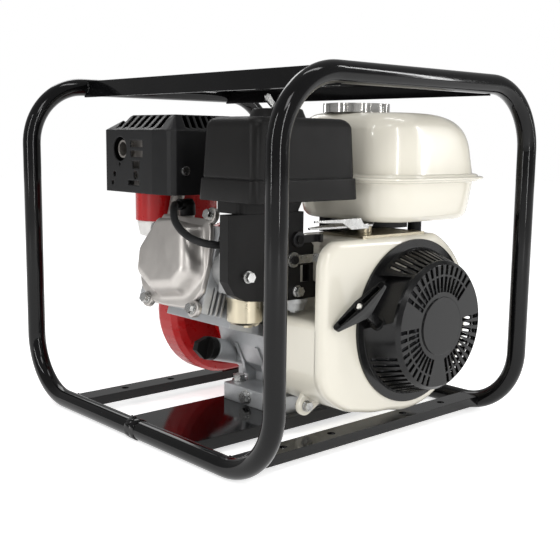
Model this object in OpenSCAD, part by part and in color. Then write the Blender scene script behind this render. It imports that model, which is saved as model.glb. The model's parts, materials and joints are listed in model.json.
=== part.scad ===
// Portable fire pump: a small overhead-valve petrol engine and a centrifugal pump in a tubular roll frame.
// Millimetres. +Z is up, -Y is the recoil starter's side, -X is the valve cover's side.
// The origin is on the floor under the middle of the frame.

/* [Frame] */
// outer width of the frame, along X
frame_w = 405; // [390:1:440]
// outer depth of the frame, along Y
frame_d = 474; // [460:1:520]
// outer height of the frame, along Z
frame_h = 400; // [395:1:440]
// outside diameter of the frame tube
tube_d = 21.3; // [20:0.1:25]
// wall of the frame tube
tube_wall = 2; // [1.5:0.1:3]
// bend radius of the tube's centre line
bend_r = 72; // [50:1:74]
// distance of each top bar from the middle
bar_x = 117; // [95:1:125]
// leg of the top bars' angle section
bar_leg = 20; // [15:1:25]
// how far the top bars sit below the top of the tubes
bar_drop = 3; // [1:0.5:8]
// height of the top of the rails and of the engine plate
plate_top = 19.5; // [17:0.1:20.5]
// sheet of the bars, rails and plate
sheet_t = 3; // [2:0.1:4]
// width of the front and rear rails
rail_w = 26; // [22:1:34]
// depth of the rails' front fold
rail_fold = 11; // [8:0.5:16]
// middle of the front rail
front_rail_y = -168; // [-174:1:-160]
// middle of the rear rail
rear_rail_y = 124; // [120:1:130]
// spacing of the inner pair of holes in each rail
rail_hole_inner = 116; // [100:1:130]
// spacing of the outer pair of holes in each rail
rail_hole_outer = 254; // [230:1:280]
// holes in the rails
rail_hole_d = 9; // [6:0.5:12]
// width of the engine plate along Y
plate_l = 118; // [114:1:124]
// middle of the engine plate along Y
plate_y = -40; // [-43:1:-37]
// depth of the engine plate's folded edges
plate_fold = 13; // [8:0.5:16]

/* [Engine block] */
// crankshaft axis from the middle of the frame
crank_x = 62; // [56:0.5:68]
// crankshaft axis above the engine plate
crank_h = 108.5; // [106:0.5:114]
// mounting holes of the base, across the crankshaft
mount_dx = 162; // [158:0.5:166]
// mounting holes of the base, along the crankshaft
mount_dy = 75.5; // [72:0.5:78]
// hold-down bolt
mount_bolt_d = 8; // [6:0.5:10]
// width of the base
base_w = 198; // [190:1:204]
// height of the base
base_t = 20; // [16:1:24]
// radius of the crankcase round the crankshaft
case_r = 76; // [72:1:80]
// front face of the crankcase
case_front = -86; // [-88:0.5:-84]
// joint of the crankcase and its side cover
case_back = 11; // [8:0.5:13]
// mounting face of the side cover
pto_face = 35; // [33:0.5:38]
// lean of the cylinder above level
lean = 17; // [10:0.5:22]
// middle of the cylinder along the crankshaft
cyl_y = -10; // [-13:0.5:-7]
// first cooling fin from the crankshaft
fin_first = 100; // [96:1:104]
// number of cooling fins
fin_count = 7; // [5:1:7]
// spacing of the cooling fins
fin_pitch = 9.5; // [8:0.25:10]
// thickness of a cooling fin
fin_t = 3; // [2:0.25:4]
// joint of the cylinder and its head, from the crankshaft
head_from = 170; // [168:0.5:176]
// joint of the head and the valve cover, from the crankshaft
head_to = 213; // [210:0.5:218]
// half width of the head along the crankshaft
head_u = 58; // [54:0.5:60]
// half height of the head
head_v = 47; // [44:0.5:50]
// depth of the valve cover
rocker_h = 28; // [22:0.5:32]
// crankshaft diameter in the main bearings
journal_d = 25; // [22:0.5:28]
// outside diameter of the main bearings
bearing_d = 52; // [48:0.5:56]
// width of the main bearings
bearing_w = 15; // [12:0.5:16]
// crank throw
throw = 22.5; // [18:0.5:24]

/* [Flywheel and starter] */
// radius of the fan shroud round the flywheel
shroud_r = 104; // [102:0.5:107]
// front face of the fan shroud
shroud_front = -174; // [-177:0.5:-172]
// sheet of the fan shroud
shroud_t = 2.5; // [2:0.1:3]
// flywheel radius
fly_r = 80; // [74:0.5:84]
// number of fan blades
blade_count = 18; // [12:1:22]
// recoil cover radius at its flange
recoil_r = 92; // [89:0.5:95]
// recoil cover radius at its front ring
recoil_front_r = 69.5; // [66:0.5:73]
// height of the recoil cover
recoil_h = 41; // [38:0.5:44]
// wall of the recoil cover
recoil_t = 2.5; // [2:0.1:3]
// radius of the plain disc on the recoil cover
disc_r = 32; // [28:0.5:38]
// rope radius on the reel
reel_rope_r = 33; // [30:0.5:34]
// starter rope diameter
rope_d = 4.5; // [3.5:0.1:5.5]
// length of the starter grip
grip_l = 70; // [60:1:80]
// thickness of the starter grip
grip_d = 15; // [13:0.5:18]
// direction of the starter pull in plan
pull_az = 188.85; // [184:0.05:194]
// rise of the starter pull
pull_el = 32.3; // [28:0.1:36]
// turn of the grip about the pull
grip_roll = 146.4; // [138:0.1:154]

/* [Fuel] */
// tank width over the seam flange
tank_w = 189; // [182:1:194]
// tank depth over the seam flange
tank_l = 185; // [178:1:190]
// middle of the tank from the crankshaft, along X
tank_x = 16.5; // [14:0.5:20]
// middle of the tank along Y
tank_y = -112.5; // [-116:0.5:-109]
// bottom of the tank above the crankshaft
tank_z = 112; // [111.8:0.1:118]
// height of the lower half of the tank
tank_low_h = 47; // [42:0.5:50]
// height of the upper half of the tank
tank_up_h = 70.5; // [64:0.5:76]
// width of the seam flange
tank_corner = 48; // [36:1:54]
// width of the seam round the tank
seam_w = 10; // [7:0.5:12]
// tank wall
tank_t = 2.5; // [2:0.1:3]
// filler bore
filler_d = 44; // [38:0.5:48]
// fuel cap diameter
fuel_cap_d = 75; // [70:0.5:78]
// fuel cap height
fuel_cap_h = 10; // [9:0.5:14]
// number of finger flutes round the fuel cap
flute_count = 9; // [6:1:12]

/* [Intake] */
// air cleaner width
cleaner_w = 147; // [140:1:150]
// air cleaner depth
cleaner_l = 90; // [84:1:94]
// air cleaner height
cleaner_h = 83; // [76:1:88]
// middle of the air cleaner from the crankshaft, along X
cleaner_x = -155; // [-158:0.5:-153]
// middle of the air cleaner along Y
cleaner_y = -120; // [-123:0.5:-117]
// bottom of the air cleaner above the crankshaft
cleaner_z = 138; // [136.5:0.5:141]
// air cleaner wall
cleaner_t = 2.5; // [2:0.1:3]
// middle of the carburettor from the crankshaft, along X
carb_x = -183; // [-186:0.5:-180]
// middle of the carburettor above the crankshaft
carb_z = 62; // [60:0.5:64]
// joint of the carburettor and the intake cover
carb_front = -114.5; // [-116:0.5:-114]
// depth of the intake cover
intake_d = 13.5; // [12:0.5:15]
// float bowl diameter
bowl_d = 38; // [36:0.5:41]
// float bowl height
bowl_h = 29; // [24:0.5:32]

/* [Exhaust and ignition] */
// heat shield width along Y
shield_l = 122; // [116:1:126]
// heat shield depth along X
shield_w = 105; // [98:1:110]
// heat shield height to its shoulder
shield_h = 69; // [64:0.5:74]
// rise of the heat shield's sloping top
shield_rise = 17; // [10:0.5:20]
// outer face of the heat shield from the crankshaft
shield_x = -227; // [-230:0.5:-224]
// front of the heat shield along Y
shield_y = -24; // [-26:0.5:-22]
// bottom of the heat shield above the crankshaft
shield_z = 138.5; // [136.5:0.5:141]
// sheet of the heat shield
shield_t = 1.5; // [1.2:0.1:2.5]
// ignition lead diameter
lead_d = 8; // [6:0.25:9]

/* [Pump] */
// impeller diameter
impeller_d = 144; // [136:1:148]
// number of impeller vanes
vane_count = 6; // [4:1:8]
// joint of the adaptor and the volute
volute_front = 78; // [76:0.5:80]
// joint of the volute and the suction cover
volute_back = 126; // [124:0.5:128]
// radius of the volute round the shaft
volute_r = 99; // [97:0.5:101]
// radius of the volute's discharge lobe
lobe_r = 86; // [84:0.5:88]
// middle of the discharge lobe from the shaft, along X
lobe_x = -58; // [-61:0.5:-55]
// middle of the discharge lobe from the shaft, along Z
lobe_z = -14; // [-16:0.5:-12]
// width of the discharge riser
riser_d = 64; // [60:0.5:68]
// bore of the discharge riser
riser_bore = 32; // [28:0.5:34]
// top of the riser above the shaft
riser_top = 74; // [73:0.5:78]
// height of the pale collar on the riser
collar_h = 27; // [22:0.5:31]
// width of the discharge manifold along X
manifold_w = 108; // [102:1:114]
// depth of the discharge manifold along Y
manifold_l = 56; // [52:1:60]
// height of the discharge manifold
manifold_h = 33; // [30:0.5:36]
// discharge bore
outlet_bore = 32; // [28:0.5:33]
// outside diameter of the discharge thread
outlet_d = 42; // [40:0.5:46]
// suction bore
suction_bore = 40; // [34:0.5:44]
// priming plug
prime_d = 26; // [22:0.5:28]
// outside diameter of the suction thread
suction_d = 59; // [56:0.5:62]
// end of the suction thread
suction_end = 205; // [198:0.5:212]

/* [Fits] */
// clearance of a bolt in its hole, on the radius
bolt_gap = 0.3; // [0.2:0.05:0.5]
// running clearance of a shaft, on the radius
run_gap = 0.05; // [0.03:0.01:0.08]
// clearance of moving faces
face_gap = 0.3; // [0.25:0.05:0.5]

/* [Hidden] */
$fn = 48;
soft_fn = 24;
tube_r = tube_d / 2;
tube_x = frame_w / 2 - tube_r;
tube_y = frame_d / 2 - tube_r;
crank_z = plate_top + crank_h;
base_x = -23;
base_l = case_back - case_front;
mount_y = case_back - 6 - mount_dy / 2;
journal_r = journal_d / 2;
shaft_end_r = 9.5;
fly_back = -118;
fly_front = -150;
cup_front = -176;
reel_back = shroud_front - 6.3;
reel_front = shroud_front - recoil_h + recoil_t + face_gap;
post_r = 8;
pull_dir = [cos(pull_az) * cos(pull_el), sin(pull_az) * cos(pull_el), sin(pull_el)];
guide = [-76, -190, 9];
rest_l = 34;
seat_ring_h = 2;
grip_at = guide + rest_l * pull_dir;
tank_flange_z = tank_z + tank_low_h;
tank_top = tank_flange_z + tank_up_h;
filler_x = tank_x - 38;
filler_y = tank_y + 12.5;
neck_top = tank_top + 2.5;
tube_top = frame_h - tube_r;
cap_gasket_h = 2;
cleaner_top = cleaner_z + cleaner_h;
stud_x = cleaner_x - 4;
intake_top = cleaner_z - 13;
cleaner_floor = 3;
intake_right = -124;
intake_front = carb_front - intake_d;
bowl_x = carb_x + 9;
bowl_y = cyl_y - head_u - bowl_d / 2 - 1 - bolt_gap;
lever_t = 3;
lever_y = intake_front - lever_t - face_gap;
choke_at = [-136, 96];
fuel_at = [-143, 75];
throttle_at = [-34, -128];
shroud_top = 96;
throttle_z = tank_z - 3.7;
riser_x = lobe_x - lobe_r + riser_d / 2;
riser_y = (volute_front + volute_back) / 2;
collar_x = riser_x - 13;
outlet_x = collar_x + 35;
outlet_z = riser_top + collar_h + manifold_h / 2;
outlet_end = 182;
impeller_r = impeller_d / 2;
impeller_from = volute_front + 8;
impeller_to = volute_back - 8;
suction_plate_t = 14;
oil_dir_el = 15;
oil_dir = [-cos(oil_dir_el), 0, sin(oil_dir_el)];
oil_at = [-133, 18, -48];

// Shared shapes

// A cylinder between two points.
module rod(a, b, d) {
    v = b - a;
    translate(a) rotate([0, acos(v.z / norm(v)), atan2(v.y, v.x)]) cylinder(d = d, h = norm(v));
}

// A pipe along Z.
module pipe(d, bore, h) {
    difference() {
        cylinder(d = d, h = h);
        translate([0, 0, -1]) cylinder(d = bore, h = h + 2);
    }
}

// A cylinder along +Y from y0 to y1.
module along_y(r, y0, y1) {
    translate([0, y0, 0]) rotate([-90, 0, 0]) cylinder(r = r, h = y1 - y0);
}

// A turned part about Y. Profile points are [radius, y].
module turned_y(profile) {
    rotate([-90, 0, 0]) rotate_extrude() polygon(profile);
}

// An outline in X and Z pushed along +Y from y0 to y1.
module slab_y(y0, y1) {
    translate([0, y1, 0]) rotate([90, 0, 0]) linear_extrude(y1 - y0) children();
}

// A hexagon head or nut along Z, with its washer.
module hex_head(d, h, washer = 1.5) {
    cylinder(d = d * 2.1, h = washer);
    translate([0, 0, washer]) cylinder(d = d * 1.85, h = h, $fn = 6);
}

// A flat rectangle with round corners.
module round_rect(w, l, r) {
    for (i = [0:1]) square([w - 2 * r * i, l - 2 * r * (1 - i)], center = true);
    for (x = [-1, 1], y = [-1, 1]) translate([x * (w / 2 - r), y * (l / 2 - r)]) circle(r, $fn = soft_fn);
}

// A lofted block: each level is [height, width, length, corner radius, x shift].
module loft(levels) {
    hull() for (v = levels)
        translate([v[4], 0, v[0]]) linear_extrude(0.01) round_rect(v[1], v[2], v[3]);
}

// Points of a smooth curve through a route, with n steps between two of its points.
function smooth(route, n) = [for (i = [0:len(route) - 2], j = [0:n - 1]) let (
        a = route[max(i - 1, 0)], b = route[i], c = route[i + 1], d = route[min(i + 2, len(route) - 1)], t = j / n)
        0.5 * (2 * b + (c - a) * t + (2 * a - 5 * b + 4 * c - d) * t * t + (3 * b - a - 3 * c + d) * t * t * t),
    route[len(route) - 1]];

// A round cord along a curve.
module sweep(curve, d, sides = 12) {
    last = len(curve) - 1;
    rings = [for (i = [0:last]) let (
        way = curve[min(i + 1, last)] - curve[max(i - 1, 0)],
        side = cross(way, [0.1, 0.2, 1]),
        u = side / norm(side),
        v = cross(u, way) / norm(way))
        for (k = [0:sides - 1]) curve[i] + d / 2 * (cos(360 * k / sides) * u + sin(360 * k / sides) * v)];
    walls = [for (i = [0:last - 1], k = [0:sides - 1]) let (m = (k + 1) % sides)
        each [[i * sides + k, i * sides + m, (i + 1) * sides + m],
              [i * sides + k, (i + 1) * sides + m, (i + 1) * sides + k]]];
    ends = [[for (k = [sides - 1:-1:0]) k], [for (k = [0:sides - 1]) last * sides + k]];
    polyhedron(rings, concat(walls, ends));
}

// Puts children at the crankshaft.
module engine() {
    translate([crank_x, 0, crank_z]) children();
}

// Puts children on the cylinder: X is up across it, Y is along the crankshaft and Z is outward.
module on_cylinder() {
    engine() translate([0, cyl_y, 0]) rotate([0, lean - 90, 0]) children();
}

// Turns children so that their Z follows the starter pull and their X follows the grip.
module on_pull(at) {
    translate(at) rotate([0, 90 - pull_el, pull_az]) rotate([0, 0, grip_roll]) children();
}

// Frame

// One quarter of the bent loop: a bottom tube, an upright and a top tube.
module tube_quarter(solid = false) {
    module ring() difference() {
        circle(d = tube_d);
        if (!solid) circle(d = tube_d - 2 * tube_wall);
    }
    translate([tube_x, 0, tube_r]) rotate([-90, 0, 0]) linear_extrude(tube_y - bend_r) ring();
    translate([tube_x, tube_y - bend_r, tube_r + bend_r]) rotate([0, 90, 0])
        rotate_extrude(angle = 90) translate([bend_r, 0]) ring();
    translate([tube_x, tube_y, tube_r + bend_r])
        linear_extrude(frame_h - 2 * (tube_r + bend_r)) ring();
    translate([tube_x - bend_r, tube_y, tube_top - bend_r]) rotate([90, 0, 0])
        rotate_extrude(angle = 90) translate([bend_r, 0]) ring();
    translate([0, tube_y, tube_top]) rotate([0, 90, 0]) linear_extrude(tube_x - bend_r) ring();
}

module frame_corner(side_x, side_y) {
    color("#17171a") mirror([side_x < 0 ? 1 : 0, 0, 0]) mirror([0, side_y < 0 ? 1 : 0, 0])
        tube_quarter();
}

module frame_corner_near() frame_corner(-1, -1);
module frame_corner_left() frame_corner(-1, 1);
module frame_corner_right() frame_corner(1, -1);
module frame_corner_far() frame_corner(1, 1);

// An angle bar along Y, with its ends shaped to the top tubes.
module top_bar(side) {
    top = frame_h - bar_drop;
    color("#17171a") difference() {
        for (leg = [[sheet_t, bar_leg], [bar_leg, sheet_t]])
            translate([side > 0 ? bar_x - leg[0] : -bar_x, -tube_y, top - leg[1]])
                cube([leg[0], 2 * tube_y, leg[1]]);
        for (y = [-tube_y, tube_y])
            translate([-frame_w / 2, y, tube_top]) rotate([0, 90, 0]) cylinder(d = tube_d, h = frame_w);
    }
}

module top_bar_left() top_bar(-1);
module top_bar_right() top_bar(1);

// Cuts both ends of a cross member to the bottom tubes.
module fit_to_tubes() {
    difference() {
        children();
        for (x = [0, 1], y = [0, 1]) mirror([x, 0, 0]) mirror([0, y, 0]) tube_quarter(solid = true);
    }
}

// An angle rail along X with a row of bolt holes.
module rail(y) {
    color("#1b1b1e") fit_to_tubes() difference() {
        union() {
            translate([-tube_x, y - rail_w / 2, plate_top - sheet_t]) cube([2 * tube_x, rail_w, sheet_t]);
            translate([-tube_x, y - rail_w / 2, plate_top - rail_fold]) cube([2 * tube_x, sheet_t, rail_fold]);
        }
        for (span = [rail_hole_inner, rail_hole_outer], side = [-1, 1])
            translate([side * span / 2, y, 0]) cylinder(d = rail_hole_d, h = frame_h / 4);
    }
}

module front_rail() rail(front_rail_y);
module rear_rail() rail(rear_rail_y);

module mount_places() {
    for (x = [-1, 1], y = [-1, 1])
        translate([crank_x + base_x + x * mount_dx / 2, mount_y + y * mount_dy / 2, 0]) children();
}

module engine_plate() {
    color("#1b1b1e") fit_to_tubes() difference() {
        translate([-tube_x, plate_y - plate_l / 2, plate_top - plate_fold]) difference() {
            cube([2 * tube_x, plate_l, plate_fold]);
            translate([-1, sheet_t, -sheet_t]) cube([2 * tube_x + 2, plate_l - 2 * sheet_t, plate_fold]);
        }
        mount_places() cylinder(d = mount_bolt_d + 2 * bolt_gap, h = frame_h / 4);
    }
}

module hold_down_bolts() {
    color("#b9bcc0") mount_places() {
        translate([0, 0, plate_top - sheet_t - 8]) cylinder(d = mount_bolt_d, h = base_t + sheet_t + 8);
        translate([0, 0, plate_top + base_t]) hex_head(mount_bolt_d, 6);
        translate([0, 0, plate_top - sheet_t]) mirror([0, 0, 1]) hex_head(mount_bolt_d, 6);
    }
}

// Engine block

module crankcase() {
    barrel_r = 44;
    sump_foot = base_t - crank_h - 1;
    back_plate_r = shroud_r - shroud_t - bolt_gap;
    color("#a9abac") difference() {
        union() {
            engine() {
                translate([base_x - base_w / 2, case_front, -crank_h]) cube([base_w, base_l, base_t]);
                along_y(case_r, case_front, case_back);
                translate([-case_r, case_front, -crank_h]) cube([2 * case_r - 8, base_l, crank_h]);
                along_y(back_plate_r, case_front, case_front + 5);
                // sump wall, drawn in towards the base, and ribs that tie it to the base
                slab_y(case_front, case_back + 19) polygon([[-60, sump_foot], [-84, sump_foot], [-84, sump_foot + 11.5],
                    [-101, -64], [-112, -40], [-117, -19.5], [-84, -29], [-60, -20]]);
                for (y = [case_front + 8, -40, case_back - 14])
                    slab_y(y, y + 6) polygon([[-74, sump_foot], [-97, sump_foot], [-103, -64], [-114, -40], [-74, -40]]);
                rod(oil_at - 76 * oil_dir, oil_at, 27);
            }
            on_cylinder() {
                translate([0, 0, 50]) cylinder(r = barrel_r + 5, h = fin_first - 50);
                cylinder(r = barrel_r, h = head_from);
                for (i = [0:fin_count - 1]) translate([-head_v, -head_u, fin_first + i * fin_pitch])
                    cube([2 * head_v, 2 * head_u, fin_t]);
                // smooth wall under the fins
                translate([-head_v - 9, -head_u, 72]) cube([13, 2 * head_u, head_from - 72]);
            }
        }
        engine() {
            along_y(62, case_front + 14, case_back + 1);
            along_y(bearing_d / 2, case_front - 1, case_front + bearing_w);
            translate([base_x - base_w / 2 - 1, -30, -crank_h + 10]) rotate([0, 90, 0]) cylinder(d = 10, h = 14);
        }
        translate(oil_seat()) oil_turn() translate([0, 0, -40]) cylinder(d = 14, h = 42);
        on_cylinder() translate([0, 0, 30]) cylinder(r = 34, h = head_from);
        mount_places() cylinder(d = mount_bolt_d + 2 * bolt_gap, h = frame_h / 4);
        // room for the bolt heads, for the side cover and for the shroud's rim
        mount_places() translate([0, 0, plate_top + base_t]) cylinder(d = mount_bolt_d * 2.7, h = 9);
        engine() along_y(case_r + bolt_gap, case_back, pto_face + 10);
        engine() translate([-shroud_r, case_front - 1, shroud_top - shroud_t]) cube([2 * shroud_r, 7, shroud_r]);
        engine() difference() {
            shroud_body(-bolt_gap, case_front - 1, case_front + 5 + bolt_gap);
            shroud_body(shroud_t + bolt_gap, case_front - 2, case_front + 6);
        }
    }
}

module side_cover() {
    flange_r = case_r;
    color("#9fa2a4") engine() difference() {
        union() {
            along_y(flange_r, case_back, case_back + 12);
            along_y(58, case_back, pto_face);
            for (a = [45:90:315]) rotate([0, a, 0]) translate([51, 0, 0]) along_y(9, case_back, pto_face - 2);
            for (a = [15:60:315]) rotate([0, a, 0]) translate([flange_r - 8, 0, 0])
                along_y(5, case_back, case_back + 16);
        }
        along_y(50, case_back - 1, pto_face - bearing_w - 3);
        along_y(bearing_d / 2, case_back - 1, pto_face - 3);
        along_y(journal_r + 2, case_back, pto_face + 1);
    }
}

module main_bearings() {
    color("#c9ccce") engine() difference() {
        union() {
            along_y(bearing_d / 2, case_front, case_front + bearing_w);
            along_y(bearing_d / 2, pto_face - 3 - bearing_w, pto_face - 3);
        }
        along_y(journal_r + run_gap, case_front - 1, pto_face);
        for (y = [case_front - 1, case_front + bearing_w - 1, pto_face - 4 - bearing_w, pto_face - 4])
            difference() {
                along_y(bearing_d / 2 - 4, y, y + 2);
                along_y(journal_r + 4, y - 1, y + 3);
            }
    }
}

// Spark plug: its seat on the head from the crankshaft, its tilt, and the lead's nozzle on its cap.
plug_at = [-176, 9, 101];
plug_tilt = 4;
nozzle_at = plug_at + 25.5 * [-sin(plug_tilt), 0, cos(plug_tilt)];
nozzle_l = 14;
nozzle_turn = 12;

module on_plug() {
    engine() translate(plug_at) rotate([0, -plug_tilt, 0]) children();
}

module cylinder_head() {
    color("#b0b2b3") difference() {
        union() {
            on_cylinder() {
                translate([-head_v, -head_u, head_from]) cube([2 * head_v, 2 * head_u, 8]);
                translate([-head_v, -head_u, head_to - 10]) cube([2 * head_v, 2 * head_u, 10]);
                translate([-head_v + 8, -head_u + 8, head_from])
                    cube([2 * head_v - 16, 2 * head_u - 16, head_to - head_from]);
                for (i = [0:2]) translate([-head_v, -head_u, head_from + 14 + i * 7]) cube([2 * head_v, 2 * head_u, 3]);
                // intake and exhaust ports
                translate([0, -head_u, (head_from + head_to) / 2]) rotate([-90, 0, 0]) cylinder(r = 20, h = 2 * head_u);
            }
            on_plug() translate([0, 0, -18]) cylinder(r = 11, h = 18);
        }
        on_cylinder() translate([0, 0, head_from - 1]) cylinder(r = 34, h = 9);
        on_plug() cylinder(r = 13, h = 40);
        on_cylinder() translate([-60, -80, head_to]) cube([120, 160, 40]);
    }
}

// The valve cover's face, as [up, along the crankshaft], grown outward by k.
module rocker_outline(k) {
    offset(r = 10 + k, $fn = soft_fn * 2)
        polygon([[35, 17], [39, -6], [28, -21], [-5, -34], [-15, -26], [-20, 5], [-9, 29], [7, 33]]);
}

module valve_cover() {
    flange_t = 6;
    color("#a39a94") on_cylinder() translate([0, 0, head_to]) difference() {
        union() {
            intersection() {
                linear_extrude(flange_t) rocker_outline(21);
                translate([-head_v, -head_u, 0]) cube([2 * head_v + 6, 2 * head_u, flange_t]);
            }
            valve_bolt_places() cylinder(r = 9, h = flange_t);
            hull() for (v = [[flange_t - 0.5, 9], [rocker_h - 12, 5], [rocker_h - 6, 3], [rocker_h - 2, 0],
                             [rocker_h - 0.5, -4]])
                translate([0, 0, v[0]]) linear_extrude(0.5) intersection() {
                    rocker_outline(v[1]);
                    square([2 * head_v - 4, 2 * head_u - 4], center = true);
                }
        }
        valve_bolt_places() {
            translate([0, 0, -1]) cylinder(d = 6 + 2 * bolt_gap, h = 20);
            translate([0, 0, flange_t]) cylinder(r = 9, h = 30);
        }
    }
}

module valve_bolt_places() {
    for (p = [[3 - head_v, head_u - 24], [3 - head_v, 8 - head_u], [head_v + 10, 16 - head_u], [head_v - 11, head_u - 12]])
        translate([p[0], p[1], 0]) children();
}

module valve_cover_bolts() {
    color("#c4c6c8") on_cylinder() translate([0, 0, head_to]) valve_bolt_places() {
        cylinder(d = 6, h = 6);
        translate([0, 0, 6]) hex_head(6, 5);
    }
}

module crankshaft() {
    web_r = 46;
    color("#b4b7ba") engine() {
        turned_y([[0, -158], [9, -158], [9, fly_front], [journal_r - 3, fly_back], [journal_r, fly_back],
                  [journal_r, -58], [0, -58]]);
        turned_y([[0, -2], [journal_r, -2], [journal_r, pto_face + 3], [shaft_end_r, pto_face + 5],
                  [shaft_end_r, impeller_to], [0, impeller_to]]);
        for (y = [-58, -16]) along_y(web_r, y, y + 14);
        translate([0, 0, throw]) along_y(12, -45, -15);
    }
}

module flywheel() {
    color("#8d9092") engine() {
        difference() {
            turned_y([[0, fly_front], [fly_r, fly_front], [fly_r, fly_back], [fly_r - 14, fly_back],
                      [fly_r - 14, fly_front + 12], [24, fly_front + 12], [24, fly_back], [0, fly_back]]);
            turned_y([[0, fly_front - 1], [9, fly_front - 1], [9, fly_front], [journal_r - 3, fly_back],
                      [journal_r - 3, fly_back + 1], [0, fly_back + 1]]);
        }
        for (i = [0:blade_count - 1]) rotate([0, i * 360 / blade_count, 0])
            translate([42, fly_front - 14, -1.25]) rotate([0, 12, 0]) cube([fly_r - 44, 15, 2.5]);
    }
}

module starter_cup() {
    cup_r = 31;
    color("#7f8284") engine() difference() {
        along_y(cup_r, cup_front, fly_front);
        along_y(cup_r - 2.5, cup_front - 1, fly_front - 3);
        along_y(9, fly_front - 8, fly_front + 1);
        for (a = [0:120:240]) rotate([0, a, 0]) translate([cup_r - 6, cup_front - 1, -7]) cube([12, 9, 14]);
    }
}

// Fan shroud and starter

// Left side of the shroud, which leads cooling air to the cylinder. k moves the outline inward.
shroud_foot = [[0, -100], [-58, -98], [-104, -88], [-131, -68], [-141, -50]];

function shroud_low(k) = [for (p = shroud_foot) [p.x + k * (p.x < -120 ? 1 : 0.3), p.y + k * (p.x < -135 ? 0.4 : 0.9)]];

function shroud_side(k) = concat([[-141 + k, shroud_top - 24 - k / 2], [-136 + k * 0.8, shroud_top - 10 - k * 0.7],
                                  [-122 + k / 2, shroud_top - k], [0, shroud_top - k]], shroud_low(k));

// Behind the step the shroud stands clear of the intake.
step_y = -161;
function shroud_back(k) = concat([[-141 + k, 12 - k], [-92 + k, 12 - k], [-92 + k, shroud_top - k], [0, shroud_top - k]],
                                 shroud_low(k));

module shroud_body(k, y0, y1) {
    difference() {
        union() {
            along_y(shroud_r - k, y0, y1);
            slab_y(y0, y1) polygon(shroud_back(k));
            if (y0 < step_y) slab_y(y0, step_y - k) polygon(shroud_side(k));
        }
        translate([-shroud_r, y0 - 1, shroud_top - k]) cube([2 * shroud_r, y1 - y0 + 2, 40]);
    }
}

// Lug at the foot of the shroud, with its bolt hole.
foot_bolt = [-118, -124, -88];

module shroud_lug() {
    hull() {
        translate([foot_bolt.x, foot_bolt.z]) circle(11, $fn = soft_fn);
        translate([foot_bolt.x + 22, foot_bolt.z + 20]) circle(18, $fn = soft_fn);
    }
}

module fan_shroud() {
    back = case_front + 5;
    color("#ddd6c3") engine() difference() {
        union() {
            difference() {
                shroud_body(0, shroud_front, back);
                shroud_body(shroud_t, shroud_front + shroud_t, back + 1);
            }
            slab_y(foot_bolt.y - 3, foot_bolt.y + 3) difference() {
                shroud_lug();
                polygon(shroud_back(shroud_t));
            }
        }
        along_y(recoil_front_r, shroud_front - 1, shroud_front + shroud_t + 1);
        translate([foot_bolt.x, 0, foot_bolt.z]) along_y(3 + bolt_gap, foot_bolt.y - 4, foot_bolt.y + 4);
        recoil_bolt_places() along_y(2 + bolt_gap, shroud_front - 1, shroud_front + 10);
    }
}

module recoil_bolt_places() {
    for (a = [20, 140, 260]) rotate([0, a, 0]) translate([recoil_r - 4.5, 0, 0]) children();
}

// Outside of the recoil cover as a solid of revolution about Y, from the shroud forward.
module recoil_form(k) {
    f = shroud_front;
    h = recoil_h - k;
    turned_y([[0, f + (k > 0 ? 1 : 0)], [recoil_r - 9 - k, f + (k > 0 ? 1 : 0)], [recoil_r - 9 - k, f - 3],
              [recoil_front_r + 2 - k, f - h + 4], [recoil_front_r - 2 - k, f - h], [0, f - h]]);
}

// Flat seat for the starter grip, cut square to the rope under a level ledge. k makes it larger.
module pull_seat(k) {
    ledge_z = 57;
    intersection() {
        on_pull(guide) translate([-80, -80, -k]) cube([160, 160, 80]);
        translate([-150, shroud_front - recoil_h + 7 - k, -60]) cube([150, recoil_h - 10 + 2 * k, ledge_z + 60 + k]);
    }
}

module recoil_slots() {
    f = shroud_front;
    ring_w = recoil_front_r - disc_r;
    // two rows of radial slots in the front ring, in three groups
    for (group = [[44, 148], [180, 252], [284, 364]], a = [group[0]:8:group[1]], row = [[0.15, 0.45], [0.66, 0.28]])
        rotate([0, -a, 0]) translate([disc_r + row[0] * ring_w, f - recoil_h - 1, -2.1])
            cube([row[1] * ring_w, recoil_t + 2, 4.2]);
    // long louvres on the sloping side
    for (group = [[66, 126], [204, 264], [286, 358]], a = [group[0]:6:group[1]])
        rotate([0, -a, 0]) translate([recoil_front_r + 0.5, f - recoil_h + 5, -2]) cube([30, recoil_h - 11, 4]);
}

module recoil_cover() {
    f = shroud_front;
    color("#1d1d1f") engine() difference() {
        union() {
            difference() {
                union() {
                    recoil_form(0);
                    along_y(recoil_r, f - 3, f);
                }
                recoil_form(recoil_t);
                recoil_slots();
                pull_seat(0);
            }
            // walls of the grip's seat, and a raised ring round the rope
            intersection() {
                recoil_form(0);
                difference() {
                    pull_seat(recoil_t);
                    pull_seat(0);
                }
            }
            on_pull(guide) translate([0, 0, -recoil_t]) cylinder(d = 16, h = recoil_t + seat_ring_h);
            // plain raised disc and the reel's post
            along_y(disc_r, f - recoil_h - 1.5, f - recoil_h);
            along_y(post_r, f - recoil_h + 1, f - 8);
        }
        on_pull(guide) translate([0, 0, -12]) cylinder(d = rope_d + 2, h = 20);
        recoil_bolt_places() along_y(2 + bolt_gap, f - 2 - bolt_gap, f + 10);
    }
}

module shroud_bolts() {
    color("#b4b6b6") engine() {
        translate(foot_bolt) {
            along_y(3, -3, 9);
            translate([0, -3, 0]) rotate([90, 0, 0]) hex_head(6, 4.5, 1.5);
            translate([0, 3, 0]) rotate([-90, 0, 0]) hex_head(6, 4.5, 1.5);
        }
        recoil_bolt_places() {
            along_y(2, shroud_front - 2, shroud_front + shroud_t + 1);
            translate([0, shroud_front + shroud_t, 0]) rotate([-90, 0, 0]) hex_head(4, 3, 1);
        }
    }
}

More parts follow.
